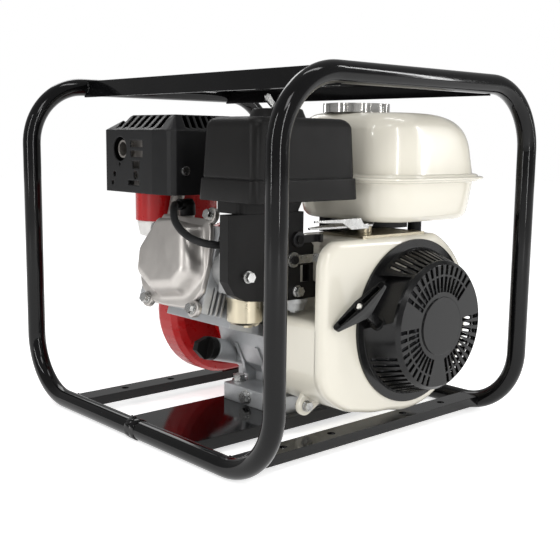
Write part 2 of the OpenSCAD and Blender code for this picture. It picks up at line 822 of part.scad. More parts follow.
module recoil_reel() {
    r = reel_rope_r;
    color("#33343a") engine() difference() {
        turned_y([[post_r + run_gap, reel_front], [r + 8, reel_front], [r + 8, reel_front + 3], [r - 2, reel_front + 6],
                  [r - 2, reel_back - 8], [r + 8, reel_back - 5], [r + 8, reel_back - 2],
                  [post_r + run_gap, reel_back - 2]]);
        for (a = [0:60:300]) rotate([0, a, 0]) translate([20, 0, 0]) along_y(5, reel_front - 1, reel_back);
    }
}

// A boat-shaped grip: flat on top with an open channel, deepest over the rope.
module starter_grip() {
    d = grip_d;
    end_d = 8;
    stem_l = rest_l - seat_ring_h - face_gap;
    color("#2c2d2f") engine() on_pull(grip_at) difference() {
        union() {
            hull() {
                for (s = [-1, 1]) translate([s * (grip_l - end_d) / 2, 0, 4]) cylinder(d = end_d, h = 5, $fn = soft_fn);
                translate([0, 0, 3]) cylinder(d = d, h = 6, $fn = soft_fn);
                translate([0, 0, -9]) cylinder(d = d - 2, h = 2, $fn = soft_fn);
            }
            translate([0, 0, -stem_l]) cylinder(d1 = 10, d2 = 13, h = stem_l - 8);
        }
        for (s = [-1, 1]) translate([s * (grip_l / 4 - 1), 0, 8]) cube([grip_l / 2 - 12, 6, 12], center = true);
        translate([0, 0, 3]) cylinder(d = 9, h = 8);
        translate([0, 0, -40]) cylinder(d = rope_d, h = 60);
    }
}

module starter_rope() {
    color("#e9e6dd") engine() on_pull(grip_at) {
        translate([0, 0, -rest_l - 10]) cylinder(d = rope_d, h = rest_l + 14);
        translate([0, 0, 6.4]) sphere(d = 7);
    }
}

// Fuel

// One level of the tank's body: height, how far it stands inside the flange, and its shift to the left.
function tank_level(z, inset, shift = 0) =
    [z, tank_w - 2 * inset - shift, tank_l - 2 * inset, max(8, tank_corner - inset / 2), -shift / 2];

module tank_place() {
    engine() translate([tank_x, tank_y, tank_z]) children();
}

// The tank's two pressings. k moves them inward.
module tank_body(k) {
    s = seam_w + k;
    up = tank_low_h + tank_up_h - k;
    loft([tank_level(k, s + 14), tank_level(2 + k, s + 9), tank_level(8 + k, s + 5), tank_level(tank_low_h, s)]);
    loft([tank_level(tank_low_h, s), tank_level(up - 34, s + 1, 8), tank_level(up - 23, s + 2, 13),
          tank_level(up - 14, s + 4, 20), tank_level(up - 7, s + 8, 28), tank_level(up - 2, s + 14, 40),
          tank_level(up, s + 22, 54)]);
}

module fuel_tank() {
    color("#ddd6c3") difference() {
        union() {
            difference() {
                tank_place() {
                    tank_body(0);
                    // rolled seam: a band with a thin lip
                    translate([0, 0, tank_low_h - 4.5]) linear_extrude(9)
                        round_rect(tank_w - seam_w, tank_l - seam_w, tank_corner - 3);
                    translate([0, 0, tank_low_h - 1.5]) linear_extrude(3) round_rect(tank_w, tank_l, tank_corner);
                }
                tank_place() tank_body(tank_t);
            }
            engine() translate([filler_x, filler_y, tank_top - 16])
                cylinder(d = filler_d + 10, h = neck_top - tank_top + 16);
        }
        engine() translate([filler_x, filler_y, tank_top - 24]) cylinder(d = filler_d, h = 44);
    }
}

module tank_posts() {
    color("#2b2b2d") engine() {
        for (p = [[-44, -78], [52, -78], [44, -136]])
            translate([p[0], p[1], shroud_top]) cylinder(d = 16, h = tank_z - shroud_top);
        // cross wall under the tank
        translate([-62, -103, shroud_top]) cube([132, 3, tank_z - shroud_top]);
    }
}

module fuel_cap_gasket() {
    color("#242426") engine() translate([filler_x, filler_y, neck_top]) pipe(filler_d + 8, filler_d + 1, cap_gasket_h);
}

module fuel_cap() {
    seat = neck_top + cap_gasket_h + 0.2;
    color("#c8c6c0") engine() translate([filler_x, filler_y, 0]) difference() {
        translate([0, 0, neck_top - 2]) cylinder(d = fuel_cap_d, h = fuel_cap_h);
        translate([0, 0, neck_top - 3]) cylinder(d = filler_d + 14, h = seat - neck_top + 3);
        for (i = [0:flute_count - 1]) rotate([0, 0, i * 360 / flute_count])
            translate([fuel_cap_d / 2 + 5, 0, neck_top - 3]) cylinder(r = 8, h = fuel_cap_h + 2);
        translate([0, 0, neck_top - 2 + fuel_cap_h - 1.5]) pipe(fuel_cap_d - 22, fuel_cap_d - 28, 4);
    }
}

// Intake

module cleaner_place() {
    engine() translate([cleaner_x, cleaner_y, cleaner_z]) children();
}

// The air cleaner's cover: a skirt and a slightly tapering top. k moves it inward.
module cleaner_form(k) {
    w = cleaner_w - 2 * k;
    l = cleaner_l - 2 * k;
    top = cleaner_h - k;
    loft([[k > 0 ? -1 : 0, w, l, 9, 0], [22, w - 2, l - 2, 9, 0]]);
    loft([[21, w - 5, l - 5, 9, 0], [top - 9, w - 9, l - 9, 10, 0], [top - 4, w - 12, l - 12, 11, 0],
          [top - 1, w - 18, l - 18, 11, 0], [top, w - 26, l - 26, 11, 0]]);
}

module air_cleaner_cover() {
    boss_r = 29;
    color("#2a2829") difference() {
        union() {
            cleaner_place() cleaner_form(0);
            engine() translate([stud_x, cleaner_y, cleaner_top - 1]) cylinder(r1 = boss_r, r2 = boss_r - 4, h = 10);
        }
        cleaner_place() cleaner_form(cleaner_t);
        engine() translate([stud_x, cleaner_y, cleaner_top - 20]) cylinder(d = 6 + 2 * bolt_gap, h = 60);
        engine() translate([stud_x, cleaner_y, cleaner_top + 6]) cylinder(r = boss_r - 9, h = 10);
    }
}

module air_cleaner_base() {
    neck_l = 43;
    neck_w = 89;
    neck_y = intake_front + neck_l / 2;
    color("#252425") {
        difference() {
            union() {
                engine() translate([intake_right - neck_w / 2, neck_y, cleaner_z])
                    loft([[intake_top - cleaner_z, neck_w - 7, neck_l, 8, -3.5], [0, neck_w, neck_l, 8, 0]]);
                cleaner_place() translate([0, 0, -0.5]) linear_extrude(cleaner_floor + 0.5)
                    round_rect(cleaner_w - 12, cleaner_l - 12, 8);
            }
            engine() translate([carb_x, neck_y, intake_top + 4]) cylinder(r = 16, h = 30);
        }
        engine() translate([stud_x, cleaner_y, cleaner_z - 6]) cylinder(d = 6, h = cleaner_h + 22);
    }
}

module filter_element() {
    color("#9a8f5f") cleaner_place() difference() {
        translate([stud_x - cleaner_x, 0, cleaner_floor + 0.1]) cylinder(r = 35, h = cleaner_h - 15);
        translate([stud_x - cleaner_x, 0, 0]) cylinder(r = 22, h = cleaner_h);
    }
}

module wing_nut() {
    seat = cleaner_top + 6.2;
    color("#c9cbcc") engine() translate([stud_x, cleaner_y, seat]) difference() {
        union() {
            cylinder(d = 15, h = 2);
            translate([0, 0, 2]) cylinder(d1 = 13, d2 = 10, h = 7);
            for (a = [0, 180]) rotate([0, 0, a]) slab_y(-1.3, 1.3)
                polygon([[3.5, 3], [8, 4], [15, 10], [17, 15], [15, 17.5], [11.5, 17], [6, 10], [3.5, 8.5]]);
        }
        translate([0, 0, -1]) cylinder(d = 6 + 2 * bolt_gap, h = 30);
    }
}

module carburettor() {
    color("#9a9c9b") engine() translate([carb_x, 0, carb_z]) {
        difference() {
            union() {
                along_y(20, carb_front, cyl_y - head_u);
                translate([-20, carb_front + 4, -22]) cube([40, 30, 42]);
                for (x = [-1, 1]) translate([x * 26, 0, -x * 8]) along_y(8, carb_front, carb_front + 6);
            }
            along_y(12, carb_front - 1, cyl_y - head_u + 1);
        }
        translate([bowl_x - carb_x, bowl_y, -28]) cylinder(d = bowl_d + 2, h = 7);
    }
}

module float_bowl() {
    color("#b79c5c") engine() translate([bowl_x, bowl_y, carb_z - 28]) mirror([0, 0, 1]) {
        cylinder(d = bowl_d + 2, h = 3);
        translate([0, 0, 3]) cylinder(d = bowl_d, h = bowl_h - 6);
        translate([0, 0, bowl_h - 3]) cylinder(d1 = bowl_d, d2 = bowl_d - 8, h = 3);
        translate([4, 0, bowl_h]) cylinder(d = 10, h = 5, $fn = 6);
        rod([10, 0, bowl_h - 6], [16, 0, bowl_h + 3], 9);
    }
}

// Outline of the intake cover, seen from the front.
module intake_outline() {
    b = carb_z - 30;
    polygon([[-229, intake_top], [-229, b + 26], [-220, b + 12], [-206, b + 5], [-160, b], [-104, b], [-100, b + 5],
             [-101, b + 14], [-112, b + 18], [-112, 88], [-118, 94], [intake_right - 3.5, 96],
             [intake_right - 3.5, intake_top]]);
}

module intake_nut_places() {
    for (p = [[-204, carb_z], [-136, carb_z - 21]]) translate([p[0], 0, p[1]]) children();
}

module intake_cover() {
    window = [13, 18];
    color("#201f20") engine() difference() {
        slab_y(intake_front, carb_front) intake_outline();
        // hollow behind the front wall
        slab_y(intake_front + 3, carb_front + 1) difference() {
            offset(delta = -3) intake_outline();
            translate([carb_x - 34, carb_z - 34]) square([68, 62]);
        }
        translate([carb_x, 0, carb_z]) along_y(12, intake_front + 3, carb_front + 1);
        translate([-131, intake_front - 1, 50]) cube([window[0], 5, window[1]]);
        intake_nut_places() along_y(3 + bolt_gap, intake_front - 1, carb_front + 1);
    }
    // pivot pins of the two levers
    color("#201f20") engine() for (p = [choke_at, fuel_at]) translate([p[0], 0, p[1]]) {
        along_y(3, lever_y - 1.5, intake_front + 3);
        along_y(4.5, lever_y - 2.5, lever_y - face_gap);
    }
}

module intake_nuts() {
    color("#c6c8c9") engine() {
        intake_nut_places() {
            along_y(3, intake_front - 4, intake_front + 3);
            translate([0, intake_front, 0]) rotate([90, 0, 0]) hex_head(6, 5, 2);
        }
    }
}

module sediment_cup() {
    color("#8f9192") engine() translate([-128, intake_front + 12, carb_z - 30]) mirror([0, 0, 1]) {
        cylinder(d = 29, h = 5);
        translate([0, 0, 5]) cylinder(d1 = 26, d2 = 22, h = 8);
        translate([0, 0, 13]) cylinder(d = 11, h = 3, $fn = 6);
    }
}

// A hand lever in the intake cover's face: a boss with an arm to the right and a raised thumb tab.
module hand_lever(at, length, width) {
    engine() translate([at[0], lever_y, at[1]]) difference() {
        union() {
            along_y(8, 0, lever_t);
            translate([0, 0, -width / 2]) cube([length, lever_t, width]);
            translate([length, 0, 0]) along_y(width / 2, 0, lever_t);
            translate([length - 4, -5, -width / 2]) cube([4, 6, width]);
        }
        along_y(3 + run_gap, -8, lever_t + 1);
    }
}

module choke_lever() {
    color("#1b1b1c") hand_lever(choke_at, 30, 8);
}

module fuel_lever() {
    color("#c3c6c8") hand_lever(fuel_at, 36, 9);
}

module control_bracket() {
    color("#8a7f58") engine() translate([throttle_at[0], throttle_at[1], shroud_top]) {
        translate([-42, -38, 0]) cube([102, 60, 2.5]);
        cylinder(d = 6, h = throttle_z - shroud_top + 3);
        cylinder(d = 18, h = throttle_z - shroud_top - 0.2);
        translate([0, 0, throttle_z - shroud_top + 2 + face_gap]) cylinder(d = 12, h = 1);
    }
}

module throttle_lever() {
    color("#c9cdd1") engine() translate([throttle_at[0], throttle_at[1], throttle_z]) difference() {
        union() {
            linear_extrude(2) polygon([[10, 4], [-4, 11], [-110, -24], [-112, -29], [-76, -33], [-22, -33], [8, -8]]);
            cylinder(r = 11, h = 2);
            // folded finger tab
            slab_y(-34.5, -32.5) polygon([[-110, 9.5], [-42, 9.5], [-38, 3.2], [-30, 3.2], [-30, -2], [-56, -2],
                                          [-70, 5.5], [-110, 7.5]]);
        }
        translate([0, 0, -10]) cylinder(d = 6 + 2 * run_gap, h = 30);
    }
}

// Ignition

module spark_plug() {
    color("#e7e4dc") on_plug() {
        cylinder(d = 22, h = 9, $fn = 6);
        translate([0, 0, 9]) cylinder(d = 15, h = 4);
        translate([0, 0, 13]) cylinder(d = 10, h = 12);
    }
}

module plug_cap() {
    color("#1c1c1d") difference() {
        union() {
            on_plug() {
                translate([0, 0, 13]) cylinder(d = 18, h = 12);
                translate([0, 0, 25]) cylinder(d1 = 18, d2 = 13, h = 6);
            }
            engine() translate(nozzle_at) rotate([0, 0, nozzle_turn]) rotate([0, -90, 0]) cylinder(d = 12, h = nozzle_l);
        }
        on_plug() translate([0, 0, 12]) cylinder(d = 10, h = 13);
    }
}

// Route of the ignition lead from the plug cap to the shroud, from the crankshaft.
nozzle_dir = [-cos(nozzle_turn), -sin(nozzle_turn), 0];
lead_from = nozzle_at + (nozzle_l + 0.2) * nozzle_dir;
lead_route = [lead_from, lead_from + 2 * nozzle_dir, lead_from + 5 * nozzle_dir, [-205, -4, 127], [-214, -16, 124],
              [-222, -27, 118], [-226, -36, 111.5], [-228, -47, 105], [-228, -60, 99], [-226, -73, 95], [-220, -85, 92.5],
              [-208, -92, 91], [-195, -93, 91], [-178, -92, 91], [-166.5, -91.7, 88.7], [-156.8, -91.3, 82.2],
              [-150.3, -91, 72.5], [-148, -90.5, 61], [-146, -90, 46], [-140, -90, 27], [-134, -90, 14.1]];

module ignition_lead() {
    color("#1c1c1d") engine() sweep(smooth(lead_route, 3), lead_d);
}

// Exhaust

module shield_place() {
    engine() translate([shield_x, shield_y, shield_z]) children();
}

// The shield's outline in plan: a box with one soft corner. k moves it inward.
module shield_outline(k) {
    polygon([[k, 30], [k + 4, 8 + k * 0.2], [6 + k * 0.8, 3 + k * 0.6], [11 + k * 0.4, k], [shield_w - k, k],
             [shield_w - k, shield_l - k], [k, shield_l - k]]);
}

module shield_form(k) {
    hull() {
        translate([0, 0, k > 0 ? -1 : 0]) linear_extrude(shield_h - k / 2 + (k > 0 ? 1 : 0)) shield_outline(k);
        translate([24, 20, 0]) linear_extrude(shield_h + shield_rise - k)
            square([shield_w - 30, shield_l - 40]);
    }
}

module shield_slots() {
    // outer face: three slots, a round hole, a slot below and three small holes
    for (s = [[60, 54, 24, 7], [60, 43, 24, 7], [61, 31, 14, 8], [66, 11, 22, 5]])
        translate([-1, s[0] - s[2] / 2, s[1] - s[3] / 2]) cube([5, s[2], s[3]]);
    for (h = [[62, 20, 9], [105, 20, 6], [109, 10, 5], [94, 31, 4]])
        translate([-1, h[0], h[1]]) rotate([0, 90, 0]) cylinder(d = h[2], h = 5);
    // angled slots in the sloping top: along the outer edge and along the front edge
    for (i = [0:6]) translate([5, 20 + i * 13, shield_h - 1]) rotate([0, 0, 20]) cube([22, 7, 24]);
    for (i = [0:7]) translate([26 + i * 8.5, 4, shield_h - 1]) rotate([0, 0, -20]) cube([5.2, 20, 24]);
}

module heat_shield() {
    color("#19191b") shield_place() difference() {
        shield_form(0);
        shield_form(shield_t);
        shield_slots();
        translate([-1, shield_l - 29, 48]) rotate([0, 90, 0]) cylinder(r = 13.5, h = 5);
        shield_screw_places() translate([0, 0, -1]) cylinder(d = 5 + 2 * bolt_gap, h = 12);
    }
}

// A screw in the front face and two in the rear face, each along +Z of its place.
module shield_screw_places() {
    translate([22, 0, 26]) rotate([-90, 0, 0]) children();
    for (x = [34, 84]) translate([x, shield_l, 26]) rotate([90, 0, 0]) children();
}

module muffler_body() {
    w = shield_w - 24;
    l = shield_l - 24;
    translate([shield_w / 2 + 1, shield_l / 2, 0]) {
        translate([0, 0, 6]) linear_extrude(60) round_rect(w - 14, l - 14, 10);
        translate([0, 0, 13]) linear_extrude(45) round_rect(w, l, 14);
    }
}

module muffler() {
    head_side = cyl_y + head_u;
    color("#6f6a66") difference() {
        union() {
            shield_place() {
                muffler_body();
                translate([4, shield_l - 29, 48]) rotate([0, 90, 0]) cylinder(d = 20, h = 20);
            }
            // flange on the head and elbow up to the muffler
            engine() translate([-172, head_side, 54]) {
                along_y(17, 0, 7);
                along_y(8, 0, 14);
                translate([0, 14, 0]) sphere(d = 17.5);
                rod([0, 14, 0], [24, 14, shield_z - 54 + 12], 16);
            }
        }
        shield_place() {
            translate([0, shield_l - 29, 48]) rotate([0, 90, 0]) cylinder(d = 16, h = 34);
            shield_screw_places() translate([0, 0, 4]) cylinder(d = 5, h = 14);
        }
    }
}

module shield_screws() {
    color("#8b8d8e") shield_place() shield_screw_places() {
        cylinder(d = 5, h = 14);
        mirror([0, 0, 1]) cylinder(d = 10, h = 2.5);
    }
}

// Oil

function oil_seat() = [crank_x, 0, crank_z] + oil_at;

// Z along the oil filler, up and outward.
module oil_turn() {
    rotate([0, oil_dir_el - 90, 0]) children();
}

module oil_gasket() {
    color("#3a2f2a") translate(oil_seat()) oil_turn() translate([0, 0, face_gap]) pipe(24, 15, 1.5);
}

module oil_filler_cap() {
    color("#151516") translate(oil_seat()) oil_turn() {
        translate([0, 0, face_gap + 1.7]) cylinder(d = 28, h = 9);
        // wedge handle
        slab_y(-4, 4) polygon([[-13, face_gap + 9], [13, face_gap + 9], [13, face_gap + 14], [5, face_gap + 27],
                               [-5, face_gap + 27], [-13, face_gap + 14]]);
        translate([0, 0, -14]) cylinder(d = 13, h = 17);
        translate([0, 0, -34]) cylinder(d = 5, h = 22);
    }
}

module drain_plug() {
    color("#b7babc") engine() translate([base_x - base_w / 2, -30, -crank_h + 10]) rotate([0, -90, 0]) {
        translate([0, 0, -12]) cylinder(d = 10, h = 12);
        hex_head(8, 5, 1.5);
    }
}

// Pump

module pump_adaptor() {
    color("#b3181c") engine() difference() {
        union() {
            turned_y([[0, pto_face], [62, pto_face], [62, pto_face + 8], [54, pto_face + 12], [64, volute_front - 14],
                      [92, volute_front - 8], [92, volute_front], [0, volute_front]]);
        }
        turned_y([[0, pto_face - 1], [46, pto_face - 1], [46, pto_face + 14], [40, volute_front - 16],
                  [shaft_end_r + 4, volute_front - 16], [shaft_end_r + 4, volute_front + 1], [0, volute_front + 1]]);
        along_y(21, volute_front - 12, volute_front + 1);
        // open windows round the shaft
        for (a = [0:90:270]) rotate([0, a, 0]) translate([30, pto_face + 13, -16]) cube([60, 12, 32]);
    }
}

module shaft_seal() {
    color("#3c3d40") engine() difference() {
        along_y(21, volute_front - 12, volute_front + 2);
        along_y(shaft_end_r + run_gap, volute_front - 13, volute_front + 3);
    }
}

// A disc about Y with rounded edges, as a child of the volute's hull.
module soft_disc(r, y0, y1) {
    e = 12;
    turned_y([[0, y0], [r - e, y0], [r - 4, y0 + 4], [r, y0 + e], [r, y1 - e], [r - 4, y1 - 4], [r - e, y1], [0, y1]]);
}

module pump_volute() {
    foot_w = 70;
    color("#b3181c") engine() difference() {
        union() {
            hull() {
                soft_disc(volute_r, volute_front, volute_back);
                translate([lobe_x, 0, lobe_z]) soft_disc(lobe_r, volute_front, volute_back);
            }
            translate([riser_x, riser_y, lobe_z]) linear_extrude(riser_top - lobe_z)
                round_rect(riser_d, volute_back - volute_front - 2, 14);
            // foot on the rear rail
            translate([-foot_w / 2, rear_rail_y - rail_w / 2 + 4, plate_top - crank_z])
                cube([foot_w, volute_back - rear_rail_y + rail_w / 2 - 6, 34]);
            translate([0, riser_y, 0]) cylinder(d = prime_d + 18, h = volute_r + 8);
        }
        along_y(impeller_r + 5, volute_front - 1, volute_back + 1);
        hull() {
            translate([lobe_x, 0, lobe_z]) along_y(lobe_r - 18, volute_front + 6.5, volute_back - 6.5);
            along_y(impeller_r, volute_front + 6.5, volute_back - 6.5);
        }
        translate([riser_x, riser_y, lobe_z]) cylinder(d = riser_bore, h = riser_top);
        translate([0, riser_y, 20]) cylinder(d = prime_d, h = volute_r);
    }
}

module impeller() {
    color("#a9843c") engine() {
        difference() {
            union() {
                along_y(impeller_r, impeller_from, impeller_from + 4);
                along_y(18, impeller_from, impeller_to);
                for (i = [0:vane_count - 1]) rotate([0, i * 360 / vane_count, 0])
                    translate([16, impeller_from + 3, 0]) rotate([0, 38, 0]) translate([0, 0, -2]) cube([44, 18, 4]);
            }
            along_y(shaft_end_r, impeller_from - 1, impeller_to + 1);
        }
    }
}

module suction_cover() {
    color("#b3181c") engine() difference() {
        turned_y([[0, volute_back], [volute_r - 4, volute_back], [volute_r - 4, volute_back + 8],
                  [volute_r - 22, volute_back + 8],
                  [46, volute_back + suction_plate_t],
                  [38, volute_back + 26], [suction_d / 2 - 1, suction_end - 34], [suction_d / 2, suction_end - 33],
                  [suction_d / 2, suction_end], [0, suction_end]]);
        along_y(suction_bore / 2, volute_back - 1, suction_end + 1);
        // thread relief grooves
        for (i = [0:6])
            translate([0, suction_end - 4 - i * 4, 0]) rotate([-90, 0, 0]) pipe(suction_d + 4, suction_d - 3, 1.6);
        pump_bolt_places() along_y(4 + bolt_gap, volute_back - 1, volute_back + 20);
    }
}

module pump_bolt_places() {
    for (a = [22.5:45:337.5]) rotate([0, a, 0]) translate([volute_r - 11, 0, 0]) children();
}

module pump_bolts() {
    color("#c0c3c5") engine() pump_bolt_places() {
        along_y(4, volute_back, volute_back + 8);
        translate([0, volute_back + 8, 0]) rotate([-90, 0, 0]) hex_head(7, 5, 1.5);
    }
}

module riser_collar() {
    color("#d9d7d2") engine() translate([riser_x, riser_y, riser_top]) difference() {
        hull() {
            cylinder(d = riser_d + 4, h = 3, $fn = soft_fn * 2);
            translate([collar_x - riser_x, 0, collar_h / 3]) linear_extrude(1)
                round_rect(manifold_w - 10, manifold_l - 4, 25);
            translate([collar_x - riser_x, 0, collar_h - 3]) linear_extrude(3)
                round_rect(manifold_w - 3, manifold_l - 3, 26);
        }
        translate([0, 0, -1]) cylinder(d = riser_bore, h = collar_h + 2);
        translate([outlet_x - riser_x, 0, outlet_z - riser_top]) along_y(outlet_d / 2 + 3 + bolt_gap, 0, manifold_l);
    }
}

module discharge_manifold() {
    z0 = riser_top + collar_h;
    color("#b3181c") engine() difference() {
        union() {
            translate([collar_x, riser_y, z0]) linear_extrude(manifold_h) round_rect(manifold_w, manifold_l, 26);
            translate([outlet_x, 0, outlet_z]) along_y(outlet_d / 2 + 3, riser_y + manifold_l / 2 - 6, outlet_end - 22);
            translate([outlet_x, 0, outlet_z]) along_y(outlet_d / 2, riser_y + manifold_l / 2 - 6, outlet_end);
        }
        // one water way from the riser to the outlet
        translate([outlet_x, 0, outlet_z]) along_y(outlet_bore / 2, riser_y, outlet_end + 1);
        translate([outlet_x, riser_y, outlet_z]) rotate([0, -90, 0]) cylinder(d = outlet_bore - 4, h = 30);
        translate([riser_x, riser_y, z0 - 1]) cylinder(d = riser_bore, h = manifold_h / 2 + 1);
        for (i = [0:3]) translate([outlet_x, outlet_end - 4 - i * 4, outlet_z]) rotate([-90, 0, 0])
            pipe(outlet_d + 4, outlet_d - 3, 1.6);
    }
}

module priming_plug() {
    color("#b9a24a") engine() translate([0, riser_y, volute_r + 8 + face_gap]) {
        translate([0, 0, -12]) cylinder(d = prime_d - 2 * run_gap, h = 13);
        cylinder(d = prime_d + 10, h = 4);
        translate([0, 0, 3]) cylinder(d = prime_d, h = 9, $fn = 6);
    }
}

frame_corner_near();
frame_corner_left();
frame_corner_right();
frame_corner_far();
top_bar_left();
top_bar_right();
front_rail();
rear_rail();
engine_plate();
hold_down_bolts();
crankcase();
side_cover();
cylinder_head();
valve_cover();
valve_cover_bolts();
main_bearings();
crankshaft();
flywheel();
starter_cup();
fan_shroud();
recoil_cover();
shroud_bolts();
recoil_reel();
starter_grip();
starter_rope();
fuel_tank();
tank_posts();
fuel_cap_gasket();
fuel_cap();
air_cleaner_base();
filter_element();
air_cleaner_cover();
wing_nut();
carburettor();
float_bowl();
intake_cover();
intake_nuts();
sediment_cup();
choke_lever();
fuel_lever();
control_bracket();
throttle_lever();
spark_plug();
plug_cap();
ignition_lead();
muffler();
heat_shield();
shield_screws();
oil_gasket();
oil_filler_cap();
drain_plug();
pump_adaptor();
pump_volute();
shaft_seal();
impeller();
suction_cover();
pump_bolts();
riser_collar();
discharge_manifold();
priming_plug();
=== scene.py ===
# Looks of the portable fire pump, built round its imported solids. Metres, in the frame of the solids.
import json
import math

import bmesh
import bpy
from mathutils import Matrix, Vector


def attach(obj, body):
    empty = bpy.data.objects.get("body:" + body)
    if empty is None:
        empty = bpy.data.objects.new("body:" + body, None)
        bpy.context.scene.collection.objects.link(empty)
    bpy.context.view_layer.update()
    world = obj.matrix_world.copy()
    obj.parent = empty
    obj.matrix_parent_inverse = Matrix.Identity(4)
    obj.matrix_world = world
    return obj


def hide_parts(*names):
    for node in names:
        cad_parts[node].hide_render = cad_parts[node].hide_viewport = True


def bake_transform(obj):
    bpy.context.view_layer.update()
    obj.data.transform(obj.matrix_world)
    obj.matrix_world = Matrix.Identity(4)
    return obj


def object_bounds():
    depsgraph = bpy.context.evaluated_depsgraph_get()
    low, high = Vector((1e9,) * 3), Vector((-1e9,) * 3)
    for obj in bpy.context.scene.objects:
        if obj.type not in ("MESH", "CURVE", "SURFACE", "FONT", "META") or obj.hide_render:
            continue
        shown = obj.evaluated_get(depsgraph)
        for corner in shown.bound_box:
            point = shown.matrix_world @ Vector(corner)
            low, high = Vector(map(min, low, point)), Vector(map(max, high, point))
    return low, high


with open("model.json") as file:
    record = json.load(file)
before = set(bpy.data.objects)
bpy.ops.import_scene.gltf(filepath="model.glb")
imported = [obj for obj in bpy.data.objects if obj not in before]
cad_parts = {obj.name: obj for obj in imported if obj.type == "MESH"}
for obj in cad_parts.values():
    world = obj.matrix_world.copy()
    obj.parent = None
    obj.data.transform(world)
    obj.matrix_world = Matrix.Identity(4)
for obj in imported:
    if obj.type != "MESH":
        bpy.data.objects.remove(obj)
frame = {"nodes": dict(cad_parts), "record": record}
cad_low, cad_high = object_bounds()
nodes = frame["nodes"]
scene = bpy.context.scene
ENGINE = "frame_and_engine"

# Camera, at the photograph's view
CAM_AT = Vector((-0.7349, -0.8320, 0.3271))
CAM_YAW = math.radians(42.143)
CAM_PITCH = math.radians(8.631)
CAM_ROLL = math.radians(0.752)
CAM_LENS = 59.452
CAM_SENSOR = 36
CAM_NEAR = 0.02


def make_camera():
    ahead = Vector((math.sin(CAM_YAW) * math.cos(CAM_PITCH), math.cos(CAM_YAW) * math.cos(CAM_PITCH),
                    -math.sin(CAM_PITCH)))
    level = Vector((math.cos(CAM_YAW), -math.sin(CAM_YAW), 0))
    up = level.cross(ahead)
    right = math.cos(CAM_ROLL) * level + math.sin(CAM_ROLL) * up
    top = -math.sin(CAM_ROLL) * level + math.cos(CAM_ROLL) * up
    data = bpy.data.cameras.new("camera")
    data.sensor_width = CAM_SENSOR
    data.lens = CAM_LENS
    data.dof.use_dof = False
    data.clip_start = CAM_NEAR
    cam = bpy.data.objects.new("camera", data)
    cam.matrix_world = Matrix(((right.x, top.x, -ahead.x, CAM_AT.x), (right.y, top.y, -ahead.y, CAM_AT.y),
                               (right.z, top.z, -ahead.z, CAM_AT.z), (0, 0, 0, 1)))
    scene.collection.objects.link(cam)
    scene.camera = cam


make_camera()

# Mesh helpers. Points are in millimetres from the crankshaft, as in the part's source.
CRANK = Vector((0.062, 0, 0.128))
X_AXIS, Y_AXIS, Z_AXIS = (1, 0, 0), (0, 1, 0), (0, 0, 1)
SHARP = 40.0
made = []


def at(p):
    return CRANK + Vector(p) * 0.001


def add_piece(name, shell, slot, sharp, body=ENGINE, stands_for=()):
    """A piece from a shell, with edges sharper than an angle in degrees left hard."""
    mesh = bpy.data.meshes.new(name)
    mesh.from_pydata([at(p) for p in shell.points], [], shell.faces)
    work = bmesh.new()
    work.from_mesh(mesh)
    bmesh.ops.recalc_face_normals(work, faces=work.faces)
    work.to_mesh(mesh)
    work.free()
    mesh.shade_smooth()
    mesh.set_sharp_from_angle(angle=math.radians(sharp))
    piece = bpy.data.objects.new(name, mesh)
    scene.collection.objects.link(piece)
    made.append((piece, slot))
    if body:
        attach(piece, body)
    if stands_for:
        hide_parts(*stands_for)
    return piece


class Shell:
    """Points and faces of one mesh, gathered ring by ring."""

    def __init__(self):
        self.points = []
        self.faces = []

    def skin(self, rings, start="open", end="open"):
        """Faces between rings of equal count, with a fan over an end that asks for one."""
        first = len(self.points)
        n = len(rings[0])
        for ring in rings:
            self.points.extend(ring)
        for i in range(len(rings) - 1):
            a = first + i * n
            for k in range(n):
                m = (k + 1) % n
                self.faces.append((a + k, a + m, a + n + m, a + n + k))
        last = first + (len(rings) - 1) * n
        for mode, row in ((start, first), (end, last)):
            if mode == "fan":
                ring = [Vector(p) for p in self.points[row:row + n]]
                self.points.append(sum(ring, Vector()) / n)
                tip = len(self.points) - 1
                self.faces.extend((row + k, row + (k + 1) % n, tip) for k in range(n))
        return self


def circle(centre, radius, x, y, count):
    """Points on a circle in the plane of x and y."""
    turns = [2 * math.pi * k / count for k in range(count)]
    return [centre + radius * (math.cos(a) * x + math.sin(a) * y) for a in turns]


def lathe(shell, centre, axis, side, profile, steps, start="open", end="open"):
    """Rings of (radius, distance along the axis) round an axis."""
    c, z, x = Vector(centre), Vector(axis).normalized(), Vector(side).normalized()
    y = z.cross(x)
    return shell.skin([circle(c + z * d, r, x, y, steps) for r, d in profile], start, end)


def tube_rings(path, radii, sides):
    """Rings of a round cord along a path, with no twist and one radius for each point."""
    rings = []
    u = None
    for i, (p, r) in enumerate(zip(path, radii)):
        way = (path[min(i + 1, len(path) - 1)] - path[max(i - 1, 0)]).normalized()
        u = way.orthogonal().normalized() if u is None else (u - way * u.dot(way)).normalized()
        rings.append(circle(p, r, u, way.cross(u), sides))
    return rings


def curve_through(route, steps):
    """A smooth curve through the points of a route, which may have any count of numbers each."""
    rows = [tuple(p) for p in route]
    out = []
    for i in range(len(rows) - 1):
        a, b, c, d = rows[max(i - 1, 0)], rows[i], rows[i + 1], rows[min(i + 2, len(rows) - 1)]
        for j in range(steps):
            t = j / steps
            out.append(tuple(0.5 * (2 * q + (r - p) * t + (2 * p - 5 * q + 4 * r - s) * t * t
                                    + (3 * q - p - 3 * r + s) * t ** 3) for p, q, r, s in zip(a, b, c, d)))
    out.append(rows[-1])
    return out


